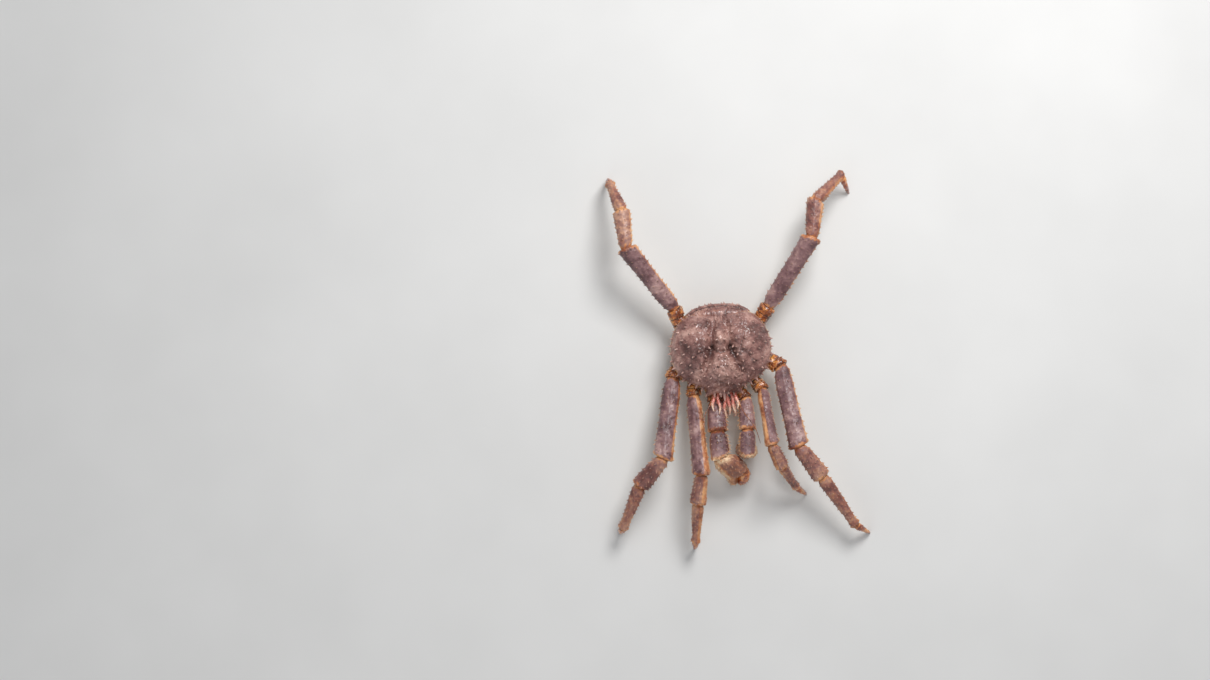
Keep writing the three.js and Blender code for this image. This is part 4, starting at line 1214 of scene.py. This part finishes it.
def fingerSleeve(name, finger, seed):
    # the wrinkled skin where the finger hinges in the palm
    t, out = np.array(claws["sleeve"]).T
    fine = np.linspace(t[0], t[-1], claws["sleeveRows"])
    angle = np.linspace(0, 2 * np.pi, claws["sleeveColumns"], endpoint=False)
    rings, normal, _ = finger.surface(fine[:, None], angle[None], smoothThrough(fine, t, out)[:, None])
    folds = 0.3 * ripple(rings, 5, seed)
    skin = Skin()
    # the folds' hollows are darker, a painted shade
    skin.addTube(rings + normal * folds[..., None], {"dark": (0.25 - folds).clip(0, 1)})
    return skin.build(name, finishes["joint"], "hip")


def makeClaw(side, size, steps, seed):
    out, along, up = claws["root"]
    joints = jointsOf([-out if side == "right" else out, along, up], steps)
    ways = [unitVector(b - a) for a, b in zip(joints, joints[1:])]
    name, inward = f"claw_{side}", 1 if side == "right" else -1
    palmPath = Path(joints[3:])
    _, palmWay = palmPath.at(0.0)
    shapes = {piece: scaled(stations, size) for piece, stations in claws["pieces"].items()}
    limbs = []
    for i, piece in enumerate(["hip", "merus", "carpus"]):
        across = headingVector(steps[i][1] - 90) * -inward
        nextWay = palmWay if piece == "carpus" else ways[i + 1]
        startNormal = mitre(ways[i - 1], ways[i]) if i else None
        limb = Limb(Path(joints[i:i + 2]), across, shapes[piece], startNormal, mitre(ways[i], nextWay))
        limbs.append(limb)
        cuts = ringCuts(claws["hipCuts"], limb.path.length) if piece == "hip" else None
        skin = limbSkin(limb, seed + i, size, claws["spines"][piece], -inward, (i > 0, True),
                        clawMarks(piece), carve=cuts)
        slot = "hip" if piece == "hip" else "limb"
        skin.build(f"{name}_{piece}_shell", finishes[slot], slot, [f"{name}_{piece}"])
    across = vec(inward, 0, 0)
    fingerPath = Path([palmPath.at(mix(claws["fingerStart"], 1, t))[0] for t in (0, 0.5, 1)])
    palm = Limb(palmPath, across, shapes["palm"], mitre(ways[2], palmWay))
    finger = Limb(fingerPath, across, shapes["finger"])
    for k, (piece, limb, finish, slot) in enumerate((("palm", palm, "claw", "limb"),
                                                     ("finger", finger, "toe", "toe"))):
        skin = limbSkin(limb, seed + 3 + k, size, claws["spines"][piece], -inward, (k == 0, False),
                        clawMarks(piece), knobs=False, finer=1.2 if k else 1,
                        carve=clawRelief(limb, piece, size))
        skin.addSpines(tufts(limb, piece, seed + 30 + k, size), None, claws["tufts"]["patch"], 5)
        skin.build(f"{name}_{piece}_shell", finishes[finish], slot, [f"{name}_{piece}"])
    for i, (before, after) in enumerate(zip(limbs, limbs[1:] + [palm])):
        jointSkin(f"{name}_joint{i + 1}", before, after, seed + 10 + i)
    fingerSleeve(f"{name}_joint4", finger, seed + 20)


for k, pose in enumerate(claws["poses"]):
    makeClaw(*pose, seed=300 + 20 * k)
print("claws done")

# The body under the shell, and the tail
under = {
    # share of the shell's outline and height of each ring, from the middle under the shell down to the belly
    "rings": [[0, 59.7], [0.93, 59.7], [0.915, 56], [0.91, 50], [0.8, 37], [0.6, 29], [0.3, 26], [0, 25]],
    "plates": 9, "seams": [52, 41], "granules": [500, 1.6, 3, 0.3], "bareFrom": [48, 58],
    "creaseDeep": 1.7, "creaseWide": 0.12, "creaseWave": [0.1, 0.35], "seamWide": 1.1, "seamWave": [1.5, 7],
    "swells": [[0.7, 16], [0.25, 5]], "lean": 1.2,
}
tail = {
    # distance back and height along the middle; share, half width and half thickness of each section
    "base": {"line": [[58, 70], [68, 71], [76, 62], [77, 50], [73, 38], [64, 26]],
             "stations": [[0, 56, 7], [0.2, 61, 8.5], [0.4, 61, 9.5], [0.6, 60, 10], [0.82, 56, 9],
                          [1, 50, 8]]},
    "flap": {"line": [[62, 22], [40, 19], [10, 18], [-14, 19], [-30, 22]],
             "stations": [[0, 46, 8], [0.25, 46, 9], [0.5, 38, 9], [0.75, 28, 9], [0.92, 16, 7], [1, 5, 4]]},
    "bands": {"base": [0.34, 0.52, 0.72], "flap": [0.18, 0.38, 0.57, 0.75]}, "bandCut": [1.5, 1.5],
    "bandBow": 0.07, "bandHalf": 0.1, "plateRise": 0.9, "seams": [17, 38], "seamCut": [1.2, 1.6],
    "seamWave": [3, 40], "bow": 9, "halfWidth": 60, "unevenness": (0.3, 0.15), "granules": 0.6,
    # share along, number, share of the half width and height of each row of spines
    "rows": [[0.14, 17, 0.86, 2], [0.24, 15, 0.86, 3.6], [0.38, 12, 0.76, 3], [0.47, 10, 0.72, 4],
             [0.56, 11, 0.7, 2.6], [0.74, 9, 0.6, 2.4]],
}


def makeUnderbody(rows=96, columns=420):
    # one round bowl under the shell, creased between the legs' roots
    draw = np.random.default_rng(60)
    steps = np.linspace(0, len(under["rings"]) - 1, rows)
    index = np.arange(len(under["rings"]))
    share, height = (np.interp(steps, index, column)[1:-1, None] for column in np.array(under["rings"]).T)
    angle = (np.arange(columns) / columns * 2 * np.pi)[None]
    turned = np.arctan2(np.sin(angle), np.cos(angle))
    reach = outlineReach(turned) * share
    level = np.broadcast_to(height, reach.shape)
    rings = np.stack([np.sin(angle) * reach, -np.cos(angle) * reach, level], -1)
    low, high = under["bareFrom"]
    below = ease(-height, -high, -low)
    wave, waves = under["creaseWave"]
    bent = (np.abs(turned) + wave * np.sin(height * waves)) * under["plates"]
    crease = np.exp(-((1 + np.cos(bent)) / under["creaseWide"]))
    wave, waves = under["seamWave"]
    for seam in under["seams"]:
        away = height - seam - wave * np.sin(turned * waves)
        crease = np.maximum(crease, np.exp(-((away / under["seamWide"]) ** 2)))
    outward = np.stack(np.broadcast_arrays(np.sin(angle), -np.cos(angle), -under["lean"] + 0 * reach), -1)
    count, narrow, broad, rise = under["granules"]
    at = draw.integers(0, rings.shape[0], count), draw.integers(0, columns, count)
    wide = draw.uniform(narrow, broad, count)
    grains = bumpsAt(rings, rings[at], wide, wide * rise)
    swells = sum(deep * ripple(rings, size, 61 + k) for k, (deep, size) in enumerate(under["swells"]))
    lift = (swells + grains - under["creaseDeep"] * crease) * below
    rings = rings + unitVector(outward) * lift[..., None]
    skin = Skin()
    # painted shade in the creases and seams
    skin.addTube(rings, {"dark": 0.5 * crease * below, "warm": 0.4 + 0.25 * ripple(rings, 30, 63),
                         "tip": 0.3 * grains, "pale": 0.3 + 0 * reach})
    return skin.build("underside", finishes["belly"], "belly", ["underbody"])


def tailPlates(part, length):
    # plates across the tail, parted by bowed grooves, with seams along it between middle and side plates
    bands, (wave, waves) = tail["bands"][part], tail["seamWave"]
    (bandDeep, bandWide), (seamDeep, seamWide) = tail["bandCut"], tail["seamCut"]

    def carve(points, t, angle):
        across = points[..., 0]
        bowed = t + tail["bandBow"] * (across / tail["halfWidth"]) ** 2
        cut = sum(bandDeep * np.exp(-(((bowed - share) * length / bandWide) ** 2)) for share in bands)
        middles = [(bowed - (share + tail["bandHalf"])) / (2 * tail["bandHalf"]) for share in bands]
        swell = sum(np.cos(np.pi * np.clip(middle, -0.5, 0.5)) ** 2 for middle in middles)
        for seam in tail["seams"]:
            line = np.abs(across) - seam - wave * np.sin(t * waves + seam)
            cut = cut + seamDeep * np.exp(-((line / seamWide) ** 2))
        return cut, tail["plateRise"] * swell
    return carve


def tailMarks(part):
    # paler edges, and the first band's lower half pale and warm where it bends under
    def marks(t, angle, normal):
        edge = np.exp(-((np.sin(angle) / 0.3) ** 2))
        low = ease(t, 0.55, 0.85) if part == "base" else 0
        return {"pale": np.maximum(0.6 * edge, 0.55 * low), "warm": np.maximum(0.25 + 0.3 * edge, 0.6 * low),
                "dark": 0 * t}
    return marks


def tailRows():
    # rows of spines across the first band, as angle round it, from, to, how many and how tall
    return [[math.degrees(math.acos(mix(-aside, aside, k / (count - 1)))), along, along, 1, tall]
            for along, count, aside, tall in tail["rows"] for k in range(count)]


class BowedLimb(Limb):
    # a band whose sides bend forward
    def surface(self, t, angle, out=1.0, deeper=0.0):
        place, normal, along = super().surface(t, angle, out, deeper)
        place[..., 1] -= tail["bow"] * np.abs(place[..., 0] / tail["halfWidth"]) ** 3
        return place, normal, along


def makeTail():
    kinds = (("base", BowedLimb, "tailBand", "tail_base", "shell", tailRows()),
             ("flap", Limb, "tailFlap", "tail_flap", "belly", []))
    for part, kind, name, node, finish, rows in kinds:
        path = Path([vec(0, y, z) for y, z in tail[part]["line"]])
        limb = kind(path, vec(1, 0, 0), tail[part]["stations"], squareness=2)
        skin = limbSkin(limb, 400 + len(part), 1, rows, 1, (False, False), tailMarks(part), tail["granules"],
                        knobs=False, carve=tailPlates(part, path.length), unevenness=tail["unevenness"])
        skin.build(name, finishes[finish], finish, [node])


makeUnderbody()
makeTail()
print("body and tail done")

# The small limbs of the head: points along the middle, and share, half width and half thickness of sections
head = {
    "eye": {"left": [[9, -68, 63], [10, -80, 63.5], [11, -90, 65]],
            "stations": [[0, 2.6, 2.6], [0.5, 2.8, 2.8], [0.72, 4.2, 4], [0.9, 3.9, 3.8], [1, 2, 2]]},
    "antennule": {"left": [[7, -66, 54], [9, -92, 55], [11, -106, 58], [12, -116, 55]],
                  "right": [[0, -66, 54], [2, -90, 56], [3, -103, 59], [5, -114, 57]],
                  "stations": [[0, 2.4, 2.4], [0.4, 2.2, 2.2], [0.7, 1.6, 1.6], [1, 0.7, 0.7]]},
    "mouth_limb": {"left": [[6, -62, 42], [13, -84, 41], [17, -104, 45], [20, -126, 46]],
                   "right": [[-5, -62, 42], [-1, -84, 41], [1, -104, 45], [1, -130, 48]],
                   "stations": [[0, 4, 5], [0.26, 4.3, 5.2], [0.3, 3.3, 4.2], [0.35, 4.1, 4.9],
                                [0.55, 4.2, 4.8], [0.59, 3, 3.6], [0.64, 3.8, 4.2], [0.77, 3.5, 3.6],
                                [0.8, 2.6, 2.8], [0.84, 3, 3], [0.95, 2.3, 2.3], [1, 1.2, 1.2]],
                   "cuts": [[0.3, 0.7, 1.0], [0.62, 0.7, 0.9], [0.84, 0.5, 0.8]]},
    "antenna": {"left": [[20, -66, 66], [21, -86, 68], [25, -100, 75], [34, -120, 87], [52, -150, 98],
                         [60, -180, 92]],
                "right": [[-20, -66, 66], [-21, -86, 68], [-26, -99, 75], [-39, -118, 87], [-44, -150, 98],
                          [-43, -180, 94]],
                "stations": [[0, 4, 4], [0.14, 4, 3.8], [0.2, 3.1, 3], [0.3, 2.8, 2.7], [0.34, 1.1, 1.1],
                             [0.5, 0.9, 0.9], [0.7, 0.8, 0.8], [0.85, 0.6, 0.6], [1, 0.3, 0.3]],
                "cuts": [[0.14, 0.6, 0.8], [0.22, 0.5, 0.7], [0.32, 0.4, 0.6]]},
}
headFinish = {"eye": "eye", "antennule": "mouth", "mouth_limb": "mouth", "antenna": "hip"}
mouthExtras = {
    "branches": {
        "left": [[[4, -62, 56], [7, -78, 61], [6, -94, 65], [9, -108, 65], [8, -124, 60]],
                 [[10, -62, 58], [12, -78, 65], [16, -92, 69], [15, -106, 71], [19, -120, 68]],
                 [[15, -62, 60], [20, -76, 68], [21, -90, 75], [25, -102, 78], [23, -112, 77]]],
        "right": [[[-1, -62, 56], [-2, -78, 61], [1, -94, 65], [-2, -110, 66], [1, -128, 61]],
                  [[-8, -62, 58], [-10, -78, 66], [-13, -92, 72], [-10, -106, 77], [-12, -120, 77]],
                  [[-14, -62, 60], [-18, -76, 69], [-20, -90, 76], [-24, -102, 80], [-22, -114, 80]]],
    },
    "branch": [[0, 3.2, 2.9], [0.34, 3.3, 2.9], [0.56, 2.5, 2.2], [0.6, 2.9, 2.5], [0.8, 2.1, 1.8],
               [0.93, 1.3, 1.1], [1, 0.5, 0.5]],
    "branchCuts": [[0.34, 0.5, 0.8], [0.56, 0.5, 0.8], [0.74, 0.35, 0.6]],
    # how many hairs, how tall and how thick
    "bristles": [150, 4.4, 0.3], "branchBristles": [40, 2.6, 0.24],
    "size": 0.4,
}


def antennaMarks(t, angle, normal):
    return {"warm": 0.5 + 0 * t, "dark": ease(t, 0.3, 0.38) * (0.42 + 0.15 * np.sin(t * 400))}


def eyeMarks(t, angle, normal):
    return {"warm": 1 - ease(t, 0.58, 0.66), "dark": 0 * t}


def mouthMarks(t, angle, normal):
    return {"pale": 0.8 * ease(t, 0.5, 0.92), "dark": 0 * t}


def bristles(limb, seed, count, tall, thin):
    # fine hairs along both edges of a mouth limb
    draw = np.random.default_rng(seed)
    hairs = []
    for _ in range(count):
        side = draw.choice([0, np.pi]) + draw.normal(0, 0.35)
        place, normal, along = limb.surface(draw.uniform(0.25, 0.98), side)
        height = tall * draw.uniform(0.6, 1.3)
        hairs.append((place, normal + along * draw.uniform(0.5, 1.2), height, thin, along * 0.3))
    return hairs


def mouthBranch(skin, line, k):
    # one of the strands beside a mouth limb, in its own strip of the map
    left, strip = 0.33 * k, 0.88 + 0.04 * k
    branch = Limb(Path(line), vec(1, 0, 0), mouthExtras["branch"], squareness=2)
    limbSkin(branch, 530 + k, mouthExtras["size"], (), 1, (False, False), mouthMarks, granules=0, finer=1.8,
             knobs=False, carve=ringCuts(mouthExtras["branchCuts"], branch.path.length),
             unevenness=(0.14, 0.05), skin=skin, patch=(left, 0.5, left + 0.3, 0.74))
    hairs = bristles(branch, 540 + k, *mouthExtras["branchBristles"])
    skin.addSpines(hairs, {}, (0, strip, 1, strip + 0.035), 5)


def makeHead():
    for piece, look in head.items():
        mirrored = [[-x, y, z] for x, y, z in look["left"]]
        marks = {"eye": eyeMarks, "antenna": antennaMarks}.get(piece, mouthMarks)
        for k, (side, points) in enumerate((("left", look["left"]), ("right", look.get("right", mirrored)))):
            limb = Limb(Path(points), vec(1, 0, 0), look["stations"], squareness=2)
            carve = ringCuts(look["cuts"], limb.path.length) if "cuts" in look else None
            skin = limbSkin(limb, 500 + k, mouthExtras["size"], (), 1, (False, False), marks, granules=0,
                            finer=2, knobs=False, carve=carve, unevenness=(0.1, 0.05), patch=(0, 0, 1, 0.48))
            if piece == "mouth_limb":
                hairs = bristles(limb, 520 + k, *mouthExtras["bristles"])
                skin.addSpines(hairs, {}, (0, 0.76, 1, 0.87), 5)
                for n, line in enumerate(mouthExtras["branches"][side]):
                    mouthBranch(skin, line, n)
            slot = headFinish[piece]
            skin.build(f"{piece}_{side}_fine", finishes[slot], slot, [f"{piece}_{side}"])


makeHead()
print("head done")

# Floor, light and camera: each light's place, size and power
studio = {
    "floor": 30.0, "greys": shadesOf((0.3, 214, 213, 211), (0.7, 220, 219, 217)),
    "camera": [-215.4, 35.8, 6390], "turn": -4.5, "lens": 100, "sensor": 36, "farthest": 100,
    "lights": [["keySky", (0.8, 1.7, 2.2), 1.1, 67], ["fillFront", (-1.2, -1.8, 1.8), 2.0, 9],
               ["fillTop", (0.3, 0.4, 3.2), 1.2, 12]],
    "sky": (0.93, 0.96, 1, 1), "skyPower": 0.36,
}


def makeFloor():
    half = studio["floor"]
    corners = [(-half, -half, 0), (half, -half, 0), (half, half, 0), (-half, half, 0)]
    mesh = bpy.data.meshes.new("floor")
    mesh.from_pydata(corners, [], [(0, 1, 2, 3)])
    floor = bpy.data.objects.new("floor", mesh)
    bpy.context.scene.collection.objects.link(floor)
    f = Finish("paleFloor")
    f.set(f.shader, "Base Color", f.ramp(f.noise(3.0, 3.0), studio["greys"]))
    f.set(f.shader, "Roughness", 0.85)
    mesh.materials.append(f.material)


def makeLights():
    for name, place, size, power in studio["lights"]:
        light = bpy.data.lights.new(name, "AREA")
        light.size, light.energy = size, power
        lamp = bpy.data.objects.new(name, light)
        lamp.location = place
        lamp.rotation_euler = (-Vector(place)).to_track_quat("-Z", "Y").to_euler()
        lamp.visible_camera = False
        bpy.context.scene.collection.objects.link(lamp)
    world = bpy.data.worlds.new("studio")
    world.use_nodes = True
    background = world.node_tree.nodes["Background"]
    background.inputs["Color"].default_value = studio["sky"]
    background.inputs["Strength"].default_value = studio["skyPower"]
    bpy.context.scene.world = world
    bpy.context.scene.view_settings.view_transform = "Standard"


def makeCamera():
    data = bpy.data.cameras.new("camera")
    data.lens, data.sensor_width, data.sensor_fit = studio["lens"], studio["sensor"], "HORIZONTAL"
    data.clip_end = studio["farthest"]
    camera = bpy.data.objects.new("camera", data)
    camera.location = inFrame(studio["camera"])
    camera.rotation_euler = (0, 0, math.radians(studio["turn"]))
    bpy.context.scene.collection.objects.link(camera)
    bpy.context.scene.camera = camera


makeFloor()
makeLights()
makeCamera()
print("studio done")
